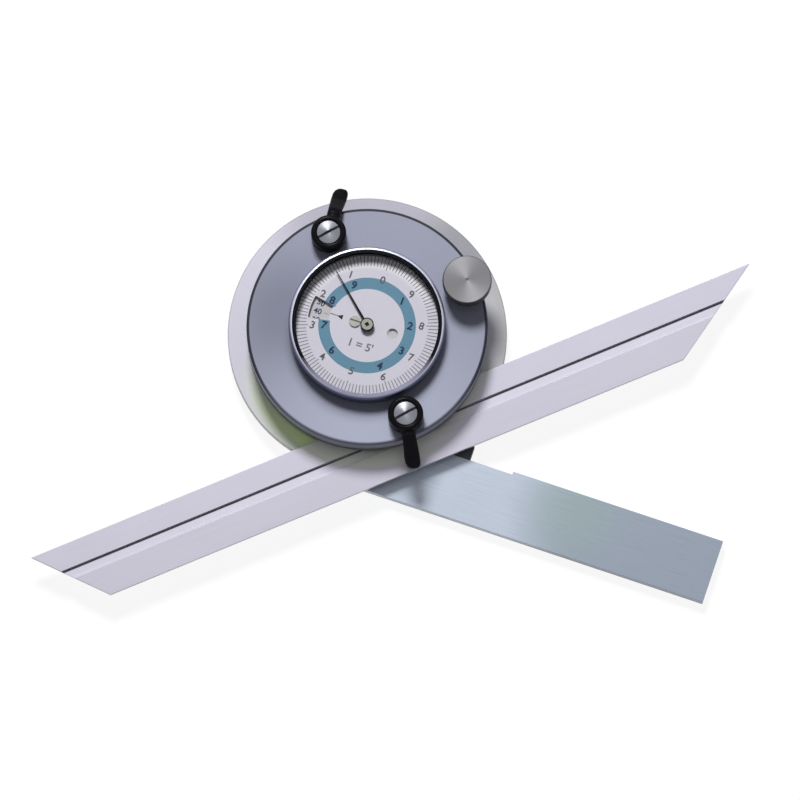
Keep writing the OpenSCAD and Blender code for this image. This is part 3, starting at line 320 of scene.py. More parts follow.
# Painted olive reflection, strongest below the head and weaker towards the disc's edge.
near_olive_reflection = disc.span(disc.reach(OLIVE_REFLECTION_SPOT), 0.026, 0.062, 0.95, 0.0, smooth=True)
within = disc.span(disc.reach(), *OLIVE_REFLECTION_RING, 1, 0.3, smooth=True)
disc.lay(disc.both(near_olive_reflection, within), colour(208, 226, 162))
print("the disc's finish has", len(disc.tree.nodes), "nodes")

# %% The steel of the stock and the blade
metal("stock_steel", colour(190, 200, 215), 0.3, 0.4, 0.04, fine=0.2, grain=(0, 2600, 60),
      washes=[((0.140, -0.043), 0.038, 0.072, colour(145, 155, 171), 0.9),
              ((0.098, -0.040), 0.004, 0.028, colour(148, 170, 168), 0.6)])
blade = metal("blade_steel", colour(198, 195, 209), 0.3, 0.36, 0.02, fine=0.08,
              grain=(READING, 2200, 40))
print("flat steel:", ", ".join(finishes))

# %% [markdown]
# The blade's groove reads as one dark line: its floor is as pale as the blade, and along its
# upper wall a painted shadow darkens the floor to black. The line is found in coordinates
# turned to the blade. The floor of the groove also takes a slightly lighter tone, a painted
# light, and the steel beyond the groove a slightly darker one.

# %% Paint the shadow along the upper wall of the blade's groove
GROOVE_SHADOW_START = (-0.0420, -0.0417)
UPPER_WALL = (-0.0413, -0.0412)
LOWER_WALL = (-0.0452, -0.0450)
DISC_EDGE = (0.0520, 0.0545)
LID_EDGE = (0.0485, 0.0510)
across = blade.axis(blade.turned(degrees=READING), "Y")
sunk = blade.span(blade.height(), BLADE_TOP - 0.20 * MM, BLADE_TOP - 0.05 * MM, 1, 0)
past_start = blade.span(across, *GROOVE_SHADOW_START, 0, 1)
before_wall = blade.span(across, *UPPER_WALL, 1, 0.35)
# This mask is a painted shadow, black on the groove's floor along its upper wall.
groove_shadow = blade.both(sunk, blade.both(past_start, before_wall))
beyond_groove = blade.span(across, *LOWER_WALL, 1, 0)
# A painted light makes the groove's floor a little paler than the blade's face.
blade.lay(blade.both(sunk, 0.4), colour(216, 213, 227))
blade.lay(blade.both(beyond_groove, 0.25), colour(186, 183, 196))
# Painted olive reflection on the blade, where it crosses the disc and close beside the lid.
over_disc = blade.span(blade.reach(), *DISC_EDGE, 1, 0)
near_olive_reflection = blade.span(blade.reach(OLIVE_REFLECTION_SPOT), 0.016, 0.038, 0.6, 0.0, smooth=True)
by_lid = blade.span(blade.reach(), *LID_EDGE, 0.4, 0, smooth=True)
blade.lay(blade.both(over_disc, blade.math("MAXIMUM", near_olive_reflection, by_lid)),
          colour(198, 204, 178))
blade.lay(groove_shadow, colour(40, 38, 52))
print("the blade's finish has", len(blade.tree.nodes), "nodes")

# %% [markdown]
# ### The head, its bezel and the knob
#
# The head is satin anodised and blue-grey. Painted reflections make it a little darker on the
# left and paler on the near right, and a painted shadow darkens it softly below the bezel. Its
# side is pale above and painted dark below as shade, and a dark line follows the lid's edge,
# faintest on the near side. The knob's top was faced on a lathe, and its fine rings pull the
# highlight into two wedges, which is what the anisotropy of the shader gives when its tangent
# follows the spokes. The knob's knurled side is painted dark as shade.

# %% The head's lid and side
# Of the washes, the first two are painted reflections, darker on the left and paler on the near right, and the
# third is a painted shadow below the bezel.
housing = metal("housing_grey", colour(161, 164, 183), 0.05, 0.42, 0.03, fine=0.03,
                washes=[((-0.0315, -0.0050), 0.004, 0.036, colour(120, 123, 141), 0.7),
                        ((0.020, -0.040), 0.008, 0.064, colour(190, 195, 216), 0.75),
                        ((0.0018, -0.0054), 0.0270, 0.0335, colour(84, 84, 98), 0.55)])
# The lower part of the side is painted near-black as shade; the part above is paler.
on_side = housing.span(housing.reach(), HEAD_R - 0.7 * MM, HEAD_R - 0.4 * MM, 0, 0.9)
lower_side_shade = housing.span(housing.height(), LID_TOP - 7.8 * MM, LID_TOP - 6.6 * MM, 1, 0)
housing.lay(on_side, housing.mix(lower_side_shade, colour(146, 145, 165), colour(12, 10, 24)))
at_edge = housing.span(housing.reach(), HEAD_R - 1.2 * MM, HEAD_R - 1.0 * MM, 0, 1)
on_top = housing.span(housing.height(), LID_TOP - 0.8 * MM, LID_TOP - 0.5 * MM, 0, 1)
far_side = housing.span(housing.in_view("Y"), -0.040, -0.015, 0.5, 0.95, smooth=True)
housing.lay(housing.both(far_side, housing.both(at_edge, on_top)), colour(16, 18, 34))
housing.set(specular=0.2)
print("the head's side starts %.1f mm from the pivot" % (HEAD_R / MM))

# %% [markdown]
# The bezel is turned and bright on top. Its inner wall is painted black as shade: all of it
# on the far side, and on the near side only below the rim. On the near side its flat is painted
# darker as a painted reflection, and its outer wall is painted dark as shade. On the far side
# the bright flat is half a millimetre wider before that dark begins.

# %% The bezel's flat and its two walls
INNER_WALL = (0.02885, 0.02890)
OUTER_WALL = (0.0291, 0.0296)
UNDER_RIM = (0.0296, 0.0303)
FAR_WIDER = 0.5 * MM
bezel = metal("bezel_satin", colour(186, 188, 206), 0.6, 0.28, 0.02, rings=((0, 0), 3000))
view_y = bezel.in_view("Y")
# Painted reflection: the near side of the bezel is darker.
bezel.lay(bezel.span(view_y, -0.027, -0.012, 0.75, 0), colour(108, 106, 128))
uphill = bezel.span(view_y, -0.012, 0.012, 0, 1)
shifted = bezel.math("SUBTRACT", bezel.reach(), bezel.math("MULTIPLY", uphill, FAR_WIDER))
# Painted shade on the bezel's outer wall, starting half a millimetre further out on the far side.
bezel.lay(bezel.span(shifted, *OUTER_WALL, 0, 0.9), colour(66, 68, 94))
# Painted shade: the inner wall is black all round the far side, and below the rim on the near side.
inside = bezel.span(bezel.reach(), *INNER_WALL, 1, 0)
under_rim = bezel.span(bezel.height(), *UNDER_RIM, 1, 0)
to_the_top = bezel.span(view_y, -0.026, -0.013, 0, 1)
bezel.lay(bezel.both(inside, bezel.math("MAXIMUM", under_rim, to_the_top)), colour(8, 9, 14))
bezel.set(specular=0.15)
print("the bezel's finish has", len(bezel.tree.nodes), "nodes")

# %% The knob and its spun top
knob = metal("knob_steel", colour(124, 123, 126), 0.42, 0.48, 0.02, fine=0.1,
             rings=(KNOB_AXIS, 4200))
knob.spin(knob.spoke(KNOB_AXIS), 0.65)
# Painted shade: the knurled side of the knob is darkened.
knob.lay(knob.span(knob.reach(KNOB_AXIS), KNOB_R - 0.5 * MM, KNOB_R - 0.3 * MM, 0, 0.85),
         colour(34, 34, 40))
print("the knob's side starts %.1f mm from its axis" % (KNOB_R / MM))

# %% [markdown]
# ### Screws, gears and what is under the lid
#
# The works are hidden unless a reader takes the lid off, and still they get their real
# finishes: brass wheels and plates, turned steel arbors, and plain steel screws. The brass
# that comes up to the lid, on the lever bushes and the tens wheel, is nickelled.

# %% Small parts
metal("screw_steel", colour(150, 150, 156), 0.8, 0.35, 0.05)
metal("hub_steel", colour(165, 165, 172), 0.7, 0.38, 0.04, rings=((0, 0), 2600))
brass = metal("gear_brass", colour(196, 168, 104), 0.85, 0.34, 0.05)
nickelled = brass.span(brass.height(), TENS_TOP - 2.5 * MM, TENS_TOP - 2.4 * MM, 0, 1)
brass.lay(nickelled, colour(186, 186, 188))
metal("floor_steel", colour(150, 152, 162), 0.6, 0.42, 0.04)
metal("arbor_steel", colour(170, 170, 176), 0.85, 0.3, 0.03)
metal("dial_screw_steel", colour(150, 151, 143), 0.5, 0.38, 0.04, soft=0.1 * MM)
metal("knob_bush_dark", colour(52, 54, 62), 0.5, 0.4, 0.04)
lever_screw = metal("lever_screw_steel", colour(124, 125, 133), 0.6, 0.4, 0.03,
                    soft=0.3 * MM)
metal("bracket_black", colour(46, 48, 52), 0.3, 0.45, 0.2)
print(len(finishes), "finishes so far")

# %% [markdown]
# The slot's floor in a lever screw is painted black as shade, below the crown of the head. The
# crowns were turned like the knob, each about its own axis.

# %% The lever screws' slots and crowns
SLOT_DEPTH = 1.35 * MM
NEAR_LOCK = (0.0080, 0.0081)
slot_floor = top_of("lock_screw") - SLOT_DEPTH
# Painted shade darkens the slot's floor.
slot_shade = lever_screw.span(lever_screw.height(), slot_floor + 0.05 * MM,
                           slot_floor + 0.12 * MM, 0.9, 0)
lever_screw.lay(slot_shade, colour(26, 24, 34))
on_lock = lever_screw.span(lever_screw.reach(LOCK_AXIS), *NEAR_LOCK, 1, 0)
spoke = lever_screw.add("ShaderNodeMix", {
    0: on_lock, 4: lever_screw.spoke(CLAMP_AXIS), 5: lever_screw.spoke(LOCK_AXIS)},
    data_type="VECTOR").outputs[1]
lever_screw.spin(spoke, 0.7)
print("the slots are black below z = %.2f mm" % (slot_floor / MM))

# %% [markdown]
# ### Black levers
#
# The levers are castings with a glossy black finish. A clear coat over a dark base gives the
# narrow highlights, and a slow bump keeps them from looking like plastic.

# %% Lever finish
lever_black = Finish("lever_black")
ripple = lever_black.noise(lever_black.spot, 700, 3)
lever_black.set(base=lever_black.mix(lever_black.span(ripple, 0.3, 0.7, 0, 0.6),
                                     colour(5, 4, 8), colour(13, 11, 18)),
                metal=0.0, rough=lever_black.span(ripple, 0.3, 0.7, 0.3, 0.42),
                specular=0.04, coat=0.05, coat_rough=0.14)
lever_black.relief(ripple, 0.3, 0.06 * MM, 0.3 * MM)
print("the levers' finish has", len(lever_black.tree.nodes), "nodes")

# %% [markdown]
# ### Dial, tens disc, pointer and crystal
#
# The dial and the disc under its window are painted. At the rim on the far side, where the
# bezel shades it, a painted light makes the dial paler. The pointer is blackened, but its hub
# was filed bright on top. The crystal is nearly clear, and a low alpha lets the light through
# to the dial without the noise of a refracting glass.

# %% Painted discs
def paint(name, tint, rough=0.5):
    """An eggshell paint."""
    look = Finish(name)
    eggshell = look.noise(look.spot, 900, 2)
    look.set(base=look.mix(look.span(eggshell, 0.3, 0.7, 0, 0.035), tint,
                           colour(120, 120, 140)),
             metal=0.0, rough=rough)
    return look.relief(eggshell, 0.15, 0.02 * MM)


dial_paint = paint("dial_white", colour(221, 218, 231))
paint("tens_white", colour(198, 197, 200))
# Painted light at the dial's far rim, against the bezel's shadow.
far_side = dial_paint.span(dial_paint.in_view("Y"), 0.002, 0.020, 0, 1, smooth=True)
to_rim = dial_paint.span(dial_paint.reach(), 0.0215, 0.0250, 0, 1, smooth=True)
dial_paint.lay(dial_paint.both(far_side, to_rim), colour(252, 250, 255))

# %% Pointer and crystal
HUB_FACE_R = (0.00210, 0.00225)
pointer = Finish("pointer_black")
hub_top = top_of("pointer")
near_axis = pointer.span(pointer.reach(), *HUB_FACE_R, 1, 0)
at_top = pointer.span(pointer.height(), hub_top - 0.12 * MM, hub_top - 0.04 * MM, 0, 1)
on_hub = pointer.both(near_axis, at_top)
filed = pointer.noise(pointer.scaled(pointer.spot, (900, 5000, 900)), 1.0, 3)
pointer.set(base=pointer.mix(on_hub, colour(8, 8, 11), colour(138, 140, 130)),
            metal=pointer.span(on_hub, 0, 1, 0.0, 0.5), rough=0.5, specular=0.05)
pointer.relief(filed, 0.1, 0.02 * MM, 0.1 * MM)

crystal = Finish("crystal_glass")
haze = crystal.noise(crystal.spot, 60, 2)
crystal.set(base=colour(120, 126, 140), rough=crystal.span(haze, 0.3, 0.7, 0.02, 0.05),
            metal=0.0, alpha=0.02, ior=1.5)
print(len(finishes), "finishes made")

# %% [markdown]
# ## Dress the CAD pieces
#
# Each node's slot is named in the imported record, so a node takes the finish of the same name.

# %% Assign the finishes
for name, solid in nodes.items():
    solid.data.materials.clear()
    solid.data.materials.append(finishes[slot_of[name]].material)
print("dressed", len(nodes), "solids")

# %% [markdown]
# ## Print the dial
#
# Everything printed is a thin raised layer of ink, a few hundredths of a millimetre high, so
# it is real geometry and stays sharp at any size. First come the inks, and helpers that turn
# vertices and faces into a piece that rides on a body.

# %% Inks
def ink(name, tint, worn=0.15, specular=0.5):
    """A matt ink that is paler where it is worn. Its material is given back."""
    look = Finish(name)
    wear = look.noise(look.spot, 2500, 2)
    look.set(base=look.mix(look.span(wear, 0.35, 0.7, 0, worn), tint, colour(200, 200, 210)),
             metal=0.0, rough=0.45, specular=specular)
    return look.material


tick_ink = ink("tick_ink", colour(94, 84, 96))
black_ink = ink("black_ink", colour(18, 12, 20))
line_ink = ink("line_ink", colour(10, 7, 14), 0.05, 0.1)
navy_ink = ink("navy_ink", colour(14, 44, 84), 0.05, 0.1)
teal_ink = ink("teal_ink", colour(82, 136, 162), 0.06, 0.4)
print("inks:", ", ".join(name for name in finishes if name.endswith("_ink")))

# %% From a mesh to a piece, and back
def in_scene(name, data):
    """A new object in the scene."""
    thing = bpy.data.objects.new(name, data)
    scene.collection.objects.link(thing)
    return thing


def final_mesh(thing):
    """What an object comes to after its modifiers, as a mesh. The object is removed."""
    graph = bpy.context.evaluated_depsgraph_get()
    mesh = bpy.data.meshes.new_from_object(thing.evaluated_get(graph))
    bpy.data.objects.remove(thing)
    return mesh


def make_piece(name, mesh, material, body):
    """A piece of the tool that rides on a body and takes its finish from a slot."""
    piece = in_scene(name, mesh)
    mesh.materials.clear()
    mesh.materials.append(material)
    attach(piece, body)
    return piece


def closed_mesh(name, shape):
    """A bmesh as a mesh, with doubles merged and faces turned outwards."""
    bmesh.ops.remove_doubles(shape, verts=shape.verts, dist=1e-7)
    bmesh.ops.recalc_face_normals(shape, faces=shape.faces)
    mesh = bpy.data.meshes.new(name)
    shape.to_mesh(mesh)
    shape.free()
    return mesh


# %% [markdown]
# ### The two levers
#
# A lever is a casting: a hub with a recess for the screw's head, and a flat handle that
# leaves the hub over the lid, bends down past the rim, and ends in a slanting tip. The hub is
# a profile spun round the screw's axis and the handle is a loft through a few sections. A
# voxel remesh joins the two into one skin, and a little smoothing rounds the casting's
# corners and its fillet, which two crossing CAD solids don't show.

# %% Hub and handle of a lever
def spun(shape, profile, steps):
    """Spin a closed profile of (radius, height) round the Z axis, in a bmesh."""
    rings = []
    for step in range(steps):
        angle = 2 * math.pi * step / steps
        rings.append([shape.verts.new((r * math.cos(angle), r * math.sin(angle), z))
                      for r, z in profile])
    for a, b in zip(rings, rings[1:] + rings[:1]):
        for k in range(len(profile)):
            m = (k + 1) % len(profile)
            shape.faces.new((a[k], b[k], b[m], a[m]))


def lofted(shape, sections, steps):
    """Join flattened rings, given as (along, middle, height, half width, half height)."""
    rings = []
    for along, middle, height, wide, tall in sections:
        ring = []
        for step in range(steps):
            angle = 2 * math.pi * step / steps
            c, s = math.cos(angle), math.sin(angle)
            ring.append(shape.verts.new((
                along, middle + wide * math.copysign(abs(c) ** 0.7, c),
                height + tall * math.copysign(abs(s) ** 0.7, s))))
        rings.append(ring)
    for a, b in zip(rings, rings[1:]):
        for k in range(steps):
            m = (k + 1) % steps
            shape.faces.new((a[k], a[m], b[m], b[k]))
    shape.faces.new(rings[0][::-1])
    shape.faces.new(rings[-1])


# %% Cast a lever over its CAD node
# Both lists are in millimetres: the hub's profile, and the handle's sections.
HUB = [(2.62, 24.95), (6.2, 24.95), (6.8, 25.5), (6.8, 31.5), (6.5, 32.15), (5.9, 32.45),
       (5.1, 32.45), (4.66, 32.1), (4.66, 30.25), (2.62, 30.25)]
HANDLE = [(5.0, 0.0, 28.7, 2.7, 2.2), (8.4, 0.0, 28.75, 2.65, 2.2),
          (10.2, 0.0, 28.0, 2.7, 2.1), (12.4, 0.0, 25.9, 2.85, 1.95),
          (15.0, 0.0, 23.5, 3.0, 1.8), (17.4, -0.05, 22.2, 2.95, 1.7),
          (18.7, -0.2, 21.85, 2.6, 1.55), (19.5, -0.4, 21.75, 1.95, 1.35),
          (19.9, -0.6, 21.75, 1.2, 1.0)]
HUB_STEPS, HANDLE_STEPS = 64, 28
VOXEL = 0.16 * MM


def cast_lever(name, node, axis, side, lean, body):
    """Cast a lever in place of a node, along its handle but turned by lean degrees.

    side is 1 or -1, for the side of the handle that its tip slants to.
    """
    far = max((v.co - Vector((axis.x, axis.y, v.co.z)) for v in nodes[node].data.vertices),
              key=lambda way: way.length)
    shape = bmesh.new()
    spun(shape, [(r * MM, z * MM) for r, z in HUB], HUB_STEPS)
    lofted(shape, [(a * MM, side * m * MM, z * MM, w * MM, t * MM)
                   for a, m, z, w, t in HANDLE], HANDLE_STEPS)
    casting = in_scene(name + "_rough", closed_mesh(name, shape))
    skin = casting.modifiers.new("skin", "REMESH")
    skin.mode = "VOXEL"
    skin.voxel_size = VOXEL
    ease = casting.modifiers.new("ease", "SMOOTH")
    ease.factor = 0.5
    ease.iterations = 5
    mesh = final_mesh(casting)
    heading = math.atan2(far.y, far.x) + math.radians(lean)
    mesh.transform(Matrix.Translation((axis.x, axis.y, 0))
                   @ Matrix.Rotation(heading, 4, "Z"))
    mesh.shade_smooth()
    mesh.name = name
    piece = make_piece(name, mesh, finishes["lever_black"].material, body)
    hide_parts(node)
    print(name, "has", len(mesh.polygons), "faces")


cast_lever("lock_lever_cast", "lock_lever", LOCK_AXIS, 1, 4.8, "lock_arm")
cast_lever("clamp_lever_cast", "clamp_lever", CLAMP_AXIS, -1, -1.0, "clamp_arm")

# %% [markdown]
# ### The ticks
#
# The dial has 120 ticks, one every three degrees, and each twelfth is longer. That is a rule,
# so Geometry Nodes make them: one tick is placed on every point of a circle, turned by the
# point's index, and stretched where the index divides by twelve.

# %% A tree that makes a ring of ticks
def tick_tree():
    """A ring of ticks that point inwards, in which every so many there is a longer one."""
    tree = bpy.data.node_groups.new("Ring of ticks", "GeometryNodeTree")
    face = tree.interface
    face.new_socket("Geometry", in_out="OUTPUT", socket_type="NodeSocketGeometry")
    for name, kind in (("Count", "NodeSocketInt"), ("Every", "NodeSocketInt"),
                       ("Outer radius", "NodeSocketFloat"), ("Length", "NodeSocketFloat"),
                       ("Long length", "NodeSocketFloat"), ("Width", "NodeSocketFloat"),
                       ("Height", "NodeSocketFloat"), ("First angle", "NodeSocketFloat"),
                       ("Material", "NodeSocketMaterial")):
        face.new_socket(name, in_out="INPUT", socket_type=kind)
    given = tree.nodes.new("NodeGroupInput").outputs

    def add(kind, inputs=None, **settings):
        return add_node(tree, kind, inputs, **settings).outputs[0]

    def maths(operation, *values):
        return add("ShaderNodeMath", dict(enumerate(values)), operation=operation)

    circle = add("GeometryNodeMeshCircle", {"Vertices": given["Count"],
                                            "Radius": given["Outer radius"]})
    size = add("ShaderNodeCombineXYZ", {0: given["Length"], 1: given["Width"],
                                        2: given["Height"]})
    block = add("GeometryNodeMeshCube", {"Size": size})
    inward = add("ShaderNodeCombineXYZ", {0: maths("MULTIPLY", given["Length"], -0.5),
                                          2: maths("MULTIPLY", given["Height"], 0.5)})
    tick = add("GeometryNodeTransform", {"Geometry": block, "Translation": inward})
    index = add("GeometryNodeInputIndex")
    step = maths("DIVIDE", 2 * math.pi, given["Count"])
    turn = add("ShaderNodeCombineXYZ", {2: maths("MULTIPLY", index, step)})
    is_long = maths("COMPARE", maths("MODULO", index, given["Every"]), 0.0, 0.1)
    extra = maths("SUBTRACT", maths("DIVIDE", given["Long length"], given["Length"]), 1.0)
    stretch = add("ShaderNodeCombineXYZ", {0: maths("MULTIPLY_ADD", is_long, extra, 1.0),
                                           1: 1.0, 2: 1.0})
    placed = add("GeometryNodeInstanceOnPoints", {"Points": circle, "Instance": tick,
                                                  "Rotation": turn, "Scale": stretch})
    start = add("ShaderNodeCombineXYZ", {2: given["First angle"]})
    turned = add("GeometryNodeTransform", {"Geometry": placed, "Rotation": start})
    real = add("GeometryNodeRealizeInstances", {"Geometry": turned})
    inked = add("GeometryNodeSetMaterial", {"Geometry": real, "Material": given["Material"]})
    out = tree.nodes.new("NodeGroupOutput")
    tree.links.new(inked, out.inputs[0])
    return tree


ring_of_ticks = tick_tree()
print("tick tree has", len(ring_of_ticks.nodes), "nodes")

# %% Make the tree's result a plain mesh
def grown(name, tree, values, height, body):
    """Run a tree on an empty mesh, keep its result as a mesh, and lift it to its height."""
    seed = in_scene(name, bpy.data.meshes.new(name))
    modifier = seed.modifiers.new("grow", "NODES")
    modifier.node_group = tree
    for item in tree.interface.items_tree:
        if item.in_out == "INPUT" and item.name in values:
            modifier[item.identifier] = values[item.name]
    mesh = final_mesh(seed)
    mesh.transform(Matrix.Translation((0, 0, height)))
    mesh.name = name
    print(name, "has", len(mesh.polygons), "faces")
    make_piece(name, mesh, values["Material"], body)


INK = 0.02 * MM
FIRST_TEN = math.radians(180 - 10 + READING - 10 * math.floor(READING / 10))
grown("dial_ticks", ring_of_ticks, {
    "Count": 120, "Every": 12, "Outer radius": 27.7 * MM, "Length": 4.2 * MM,
    "Long length": 4.9 * MM, "Width": 0.3 * MM, "Height": INK,
    "First angle": math.pi / 2, "Material": tick_ink}, DIAL_TOP, "swivel")
grown("tens_ticks", ring_of_ticks, {
    "Count": 36, "Every": 36, "Outer radius": 17.4 * MM, "Length": 2.0 * MM,
    "Long length": 2.0 * MM, "Width": 0.2 * MM, "Height": INK,
    "First angle": FIRST_TEN, "Material": tick_ink}, TENS_TOP, "tens")

# %% [markdown]
# ### Bands and outlines
#
# The teal band is a ring that stops at the window. It is a flat plate between two arcs, made
# as a strip of boxes that share their walls, which leaves a closed shell.

# %% A plate between two arcs
def arc_plate(inner, outer, first, last, thick, steps):
    """A closed plate on the dial, between two radii and two angles in degrees."""
    shape = bmesh.new()
    low, high = DIAL_TOP, DIAL_TOP + thick
    rows = []
    for step in range(steps + 1):
        angle = math.radians(first + (last - first) * step / steps)
        way = Vector((math.cos(angle), math.sin(angle), 0))
        rows.append([shape.verts.new(way * radius + Vector((0, 0, z)))
                     for radius, z in ((inner, low), (outer, low), (outer, high),
                                       (inner, high))])
    for a, b in zip(rows, rows[1:]):
        for k in range(4):
            shape.faces.new((a[k], a[(k + 1) % 4], b[(k + 1) % 4], b[k]))
    shape.faces.new(rows[0])
    shape.faces.new(rows[-1][::-1])
    return shape


WINDOW_HALF = 11.0
BAND_INNER, BAND_OUTER = 14.4 * MM, 18.8 * MM
band = arc_plate(BAND_INNER, BAND_OUTER, 180 + WINDOW_HALF, 540 - WINDOW_HALF, INK, 170)
make_piece("dial_band", closed_mesh("dial_band", band), teal_ink, "swivel")

# %% The window's outline and the mark beside it
WINDOW_INNER, WINDOW_OUTER, LINE_INNER = 15.0 * MM, 23.0 * MM, 22.7 * MM
HAIR_INNER, HAIR_HALF = 11.6 * MM, 0.55
# The outline runs along the window's outer arc and one side only: partly the dial's dark cut edge, partly a
# painted shadow of that edge.
outline = arc_plate(LINE_INNER, WINDOW_OUTER, 180 - WINDOW_HALF - 0.6,
                    180 + WINDOW_HALF - 1, 2 * INK, 12)
rim = arc_plate(WINDOW_INNER, WINDOW_OUTER, 180 - WINDOW_HALF - 1.0, 180 - WINDOW_HALF,
                2 * INK, 2)
hair = arc_plate(HAIR_INNER, WINDOW_INNER, 180 - HAIR_HALF, 180 + HAIR_HALF, INK, 1)
pointing = bmesh.new()
corners = [(-12.2, 0.0), (-9.9, 0.95), (-9.9, -0.95)]
low = [pointing.verts.new((x * MM, y * MM, DIAL_TOP)) for x, y in corners]
high = [pointing.verts.new((x * MM, y * MM, DIAL_TOP + INK)) for x, y in corners]
pointing.faces.new(low[::-1])
pointing.faces.new(high)
for k in range(3):
    pointing.faces.new((low[k], low[(k + 1) % 3], high[(k + 1) % 3], high[k]))
for name, shape in (("window_outline", outline), ("window_rim", rim),
                    ("window_mark", pointing), ("window_hair", hair)):
    make_piece(name, closed_mesh(name, shape), line_ink, "swivel")
print("band, outline and mark are printed")

# %% [markdown]
# ### The numbers
#
# Each number is a text object, made a thin mesh before it is put in place, and the numbers
# of one ring are joined into one piece. The outer ring counts the other way from the teal
# one, so the dial can be read for an angle and for its supplement. Nought and five are
# shared by both rings and stand on the band's edge. All stand parallel to the dial's zero.

# %% Words as thin meshes
def word_shape(text, size, bold):
    """A word as a mesh, centred on the origin, with its back at height zero."""
    curve = bpy.data.curves.new("word", "FONT")
    curve.body = text
    curve.size = size
    curve.extrude = INK / 2
    curve.offset = bold * size
    curve.resolution_u = 3
    curve.align_x = "CENTER"
    mesh = final_mesh(in_scene("word", curve))
    tops = [v.co.y for v in mesh.vertices]
    middle = (min(tops) + max(tops)) / 2
    mesh.transform(Matrix.Translation((0, -middle, INK / 2)))
    return mesh


def lettering(name, words, material, height, body, bold=0.02):
    """Words given as text, place in metres, turn in degrees and size, as one piece."""
    shape = bmesh.new()
    for text, x, y, degrees, size in words:
        mesh = word_shape(text, size, bold)
        mesh.transform(Matrix.Translation((x, y, height))
                       @ Matrix.Rotation(math.radians(degrees), 4, "Z"))
        shape.from_mesh(mesh)
        bpy.data.meshes.remove(mesh)
    make_piece(name, closed_mesh(name, shape), material, body)
    print(name, "holds", " ".join(word[0] for word in words))


def ring_place(radius, degrees):
    """The point at a radius and an angle from the pivot."""
    angle = math.radians(degrees)
    return radius * math.cos(angle), radius * math.sin(angle)


# %% Numbers of the dial
SINGLES, SHARED = (1, 2, 3, 4, 6, 7, 8, 9), (0, 5)


def ring_numbers(numbers, radius, step, size):
    """Upright numbers round the dial, step degrees apart, with nought at its zero."""
    return [(str(n), *ring_place(radius, 90 + step * n), 0, size) for n in numbers]


lettering("dial_numbers", ring_numbers(SINGLES, 21 * MM, 36, 4.1 * MM)
          + ring_numbers(SHARED, BAND_OUTER, 36, 4.2 * MM), black_ink, DIAL_TOP + INK,
          "swivel")
lettering("band_numbers", ring_numbers(SINGLES, 16.6 * MM, -36, 4.2 * MM), navy_ink,
          DIAL_TOP + INK, "swivel", 0.035)
lettering("dial_unit", [("1 = 5'", 0, -8.1 * MM, 0, 4.4 * MM)], tick_ink, DIAL_TOP,
          "swivel")

# %% [markdown]
# The disc under the window counts the tens of degrees. Its numbers stand upright when they
# come to the mark, so each is turned by its own place round the disc.

# %% Numbers of the tens disc
tens = []
for ten in range(0, 360, 10):
    place = 180 - (ten - READING)
    tens.append((str(ten), *ring_place(19.9 * MM, place), place - 180, 3.1 * MM))
lettering("tens_numbers", tens, navy_ink, TENS_TOP, "tens")

# %% [markdown]
# ## Floor, light and camera
#
# The tool lies on a white floor. Light Path makes the floor and the world white where the
# camera, a reflection or a clear pane looks at them, while the light that they give stays at
# a plain level, so a surface renders about as its colour is written.

# %% Floor
FLOOR_HALF, FLOOR_DROP = 6.0, 0.3 * MM
PAPER_LIT, PAPER_SEEN, PAPER_GLOW = 0.8, 0.16, 0.9
floor_mesh = bpy.data.meshes.new("floor")
floor_mesh.from_pydata([(x * FLOOR_HALF, y * FLOOR_HALF, -FLOOR_DROP)
                        for x, y in ((-1, -1), (1, -1), (1, 1), (-1, 1))], [],
                       [(0, 1, 2, 3)])
floor = in_scene("floor", floor_mesh)


def seen_directly(tree):
    """One where the camera, a reflection or a clear pane looks at the surface."""
    path = add_node(tree, "ShaderNodeLightPath").outputs
    direct = add_node(tree, "ShaderNodeMath", {
        0: path["Is Camera Ray"], 1: path["Is Glossy Ray"]}, operation="MAXIMUM")
    return add_node(tree, "ShaderNodeMath", {
        0: direct.outputs[0], 1: path["Is Transmission Ray"]}, operation="MAXIMUM").outputs[0]


floor_paper = bpy.data.materials.new("floor_paper")
floor_paper.use_nodes = True
floor_mesh.materials.append(floor_paper)
tree = floor_paper.node_tree
seen = seen_directly(tree)
tone = add_node(tree, "ShaderNodeMapRange", {"Value": seen, "To Min": PAPER_LIT,
                                             "To Max": PAPER_SEEN})
glow = add_node(tree, "ShaderNodeMath", {0: seen, 1: PAPER_GLOW}, operation="MULTIPLY")
paper = tree.nodes["Principled BSDF"]
for socket, value in (("Base Color", tone.outputs[0]), ("Emission Color", (1, 1, 1, 1)),
                      ("Emission Strength", glow.outputs[0]), ("Roughness", 0.9),
                      ("Specular IOR Level", 0.0)):
    feed(tree, paper.inputs[socket], value)
print("the floor lies %.1f mm below the tool" % (FLOOR_DROP / MM))

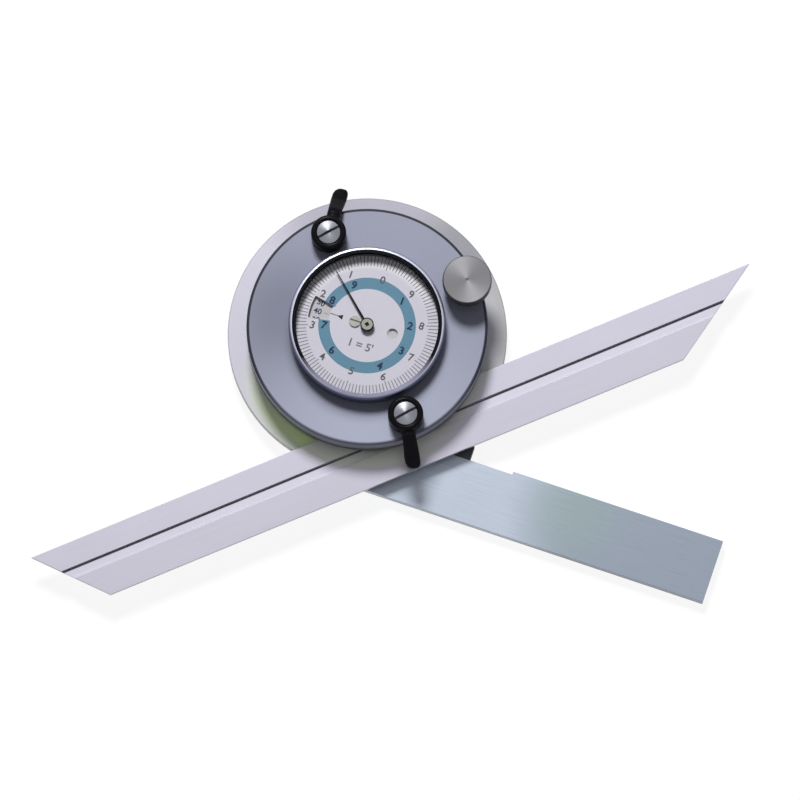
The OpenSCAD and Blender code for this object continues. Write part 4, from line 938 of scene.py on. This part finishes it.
# %% World
SKY_LIT, SKY_SEEN = 0.09, 1.0
world = bpy.data.worlds.new("studio")
scene.world = world
world.use_nodes = True
tree = world.node_tree
sky = tree.nodes["Background"]
level = add_node(tree, "ShaderNodeMapRange", {"Value": seen_directly(tree),
                                              "To Min": SKY_LIT, "To Max": SKY_SEEN})
feed(tree, sky.inputs["Color"], (0.97, 0.98, 1.0, 1))
feed(tree, sky.inputs["Strength"], level.outputs[0])
print("the world gives a light of", SKY_LIT)

# %% [markdown]
# The camera stands where the photograph's did, almost straight above and a long way off, so
# the picture has nearly no perspective. Its direction was worked out from the ellipse of the
# head and the directions of the two arms.

# %% Camera
DISTANCE, LENS, SENSOR = 2.5594, 296.2, 36
AIM_RIGHT, AIM_DOWN = 0.01268, 0.02368
across_turn, tilt = math.radians(AZIMUTH), math.radians(ELEVATION)
back = Vector((math.sin(across_turn) * math.cos(tilt),
               -math.cos(across_turn) * math.cos(tilt), math.sin(tilt)))
right = Vector((math.cos(across_turn), math.sin(across_turn), 0))
up = back.cross(right)
aim = right * AIM_RIGHT - up * AIM_DOWN
camera = in_scene("camera", bpy.data.cameras.new("camera"))
scene.camera = camera
camera.data.sensor_width = SENSOR
camera.data.lens = LENS
camera.data.clip_start, camera.data.clip_end = 0.05, 50
camera.matrix_world = Matrix.Translation(aim + back * DISTANCE) @ Matrix(
    (right, up, back)).transposed().to_4x4()
print("the camera stands %.2f m away and %.1f degrees up" % (DISTANCE, ELEVATION))

# %% [markdown]
# One soft key lamp stands beyond the head, as in the photograph, where every shadow falls
# towards the viewer. A weak fill on the near side opens the shadows a little.

# %% Lamps
def soft_lamp(name, direction, distance, size, power):
    """A round lamp that faces the pivot and isn't seen by the camera."""
    lamp = bpy.data.lights.new(name, "AREA")
    lamp.shape = "DISK"
    lamp.size = size
    lamp.energy = power
    stand = in_scene(name, lamp)
    way = direction.normalized()
    stand.location = way * distance
    stand.rotation_mode = "QUATERNION"
    stand.rotation_quaternion = way.to_track_quat("Z", "Y")
    stand.visible_camera = False


beyond = Vector((-right.y, right.x, 0))
soft_lamp("key", beyond - right * 0.2 + Vector((0, 0, 1.42)),
          distance=1.8, size=0.5, power=28.0)
soft_lamp("fill", beyond * -0.6 + right * 0.5 + Vector((0, 0, 1.2)),
          distance=1.0, size=0.6, power=0.1)
scene.view_settings.view_transform = "Standard"
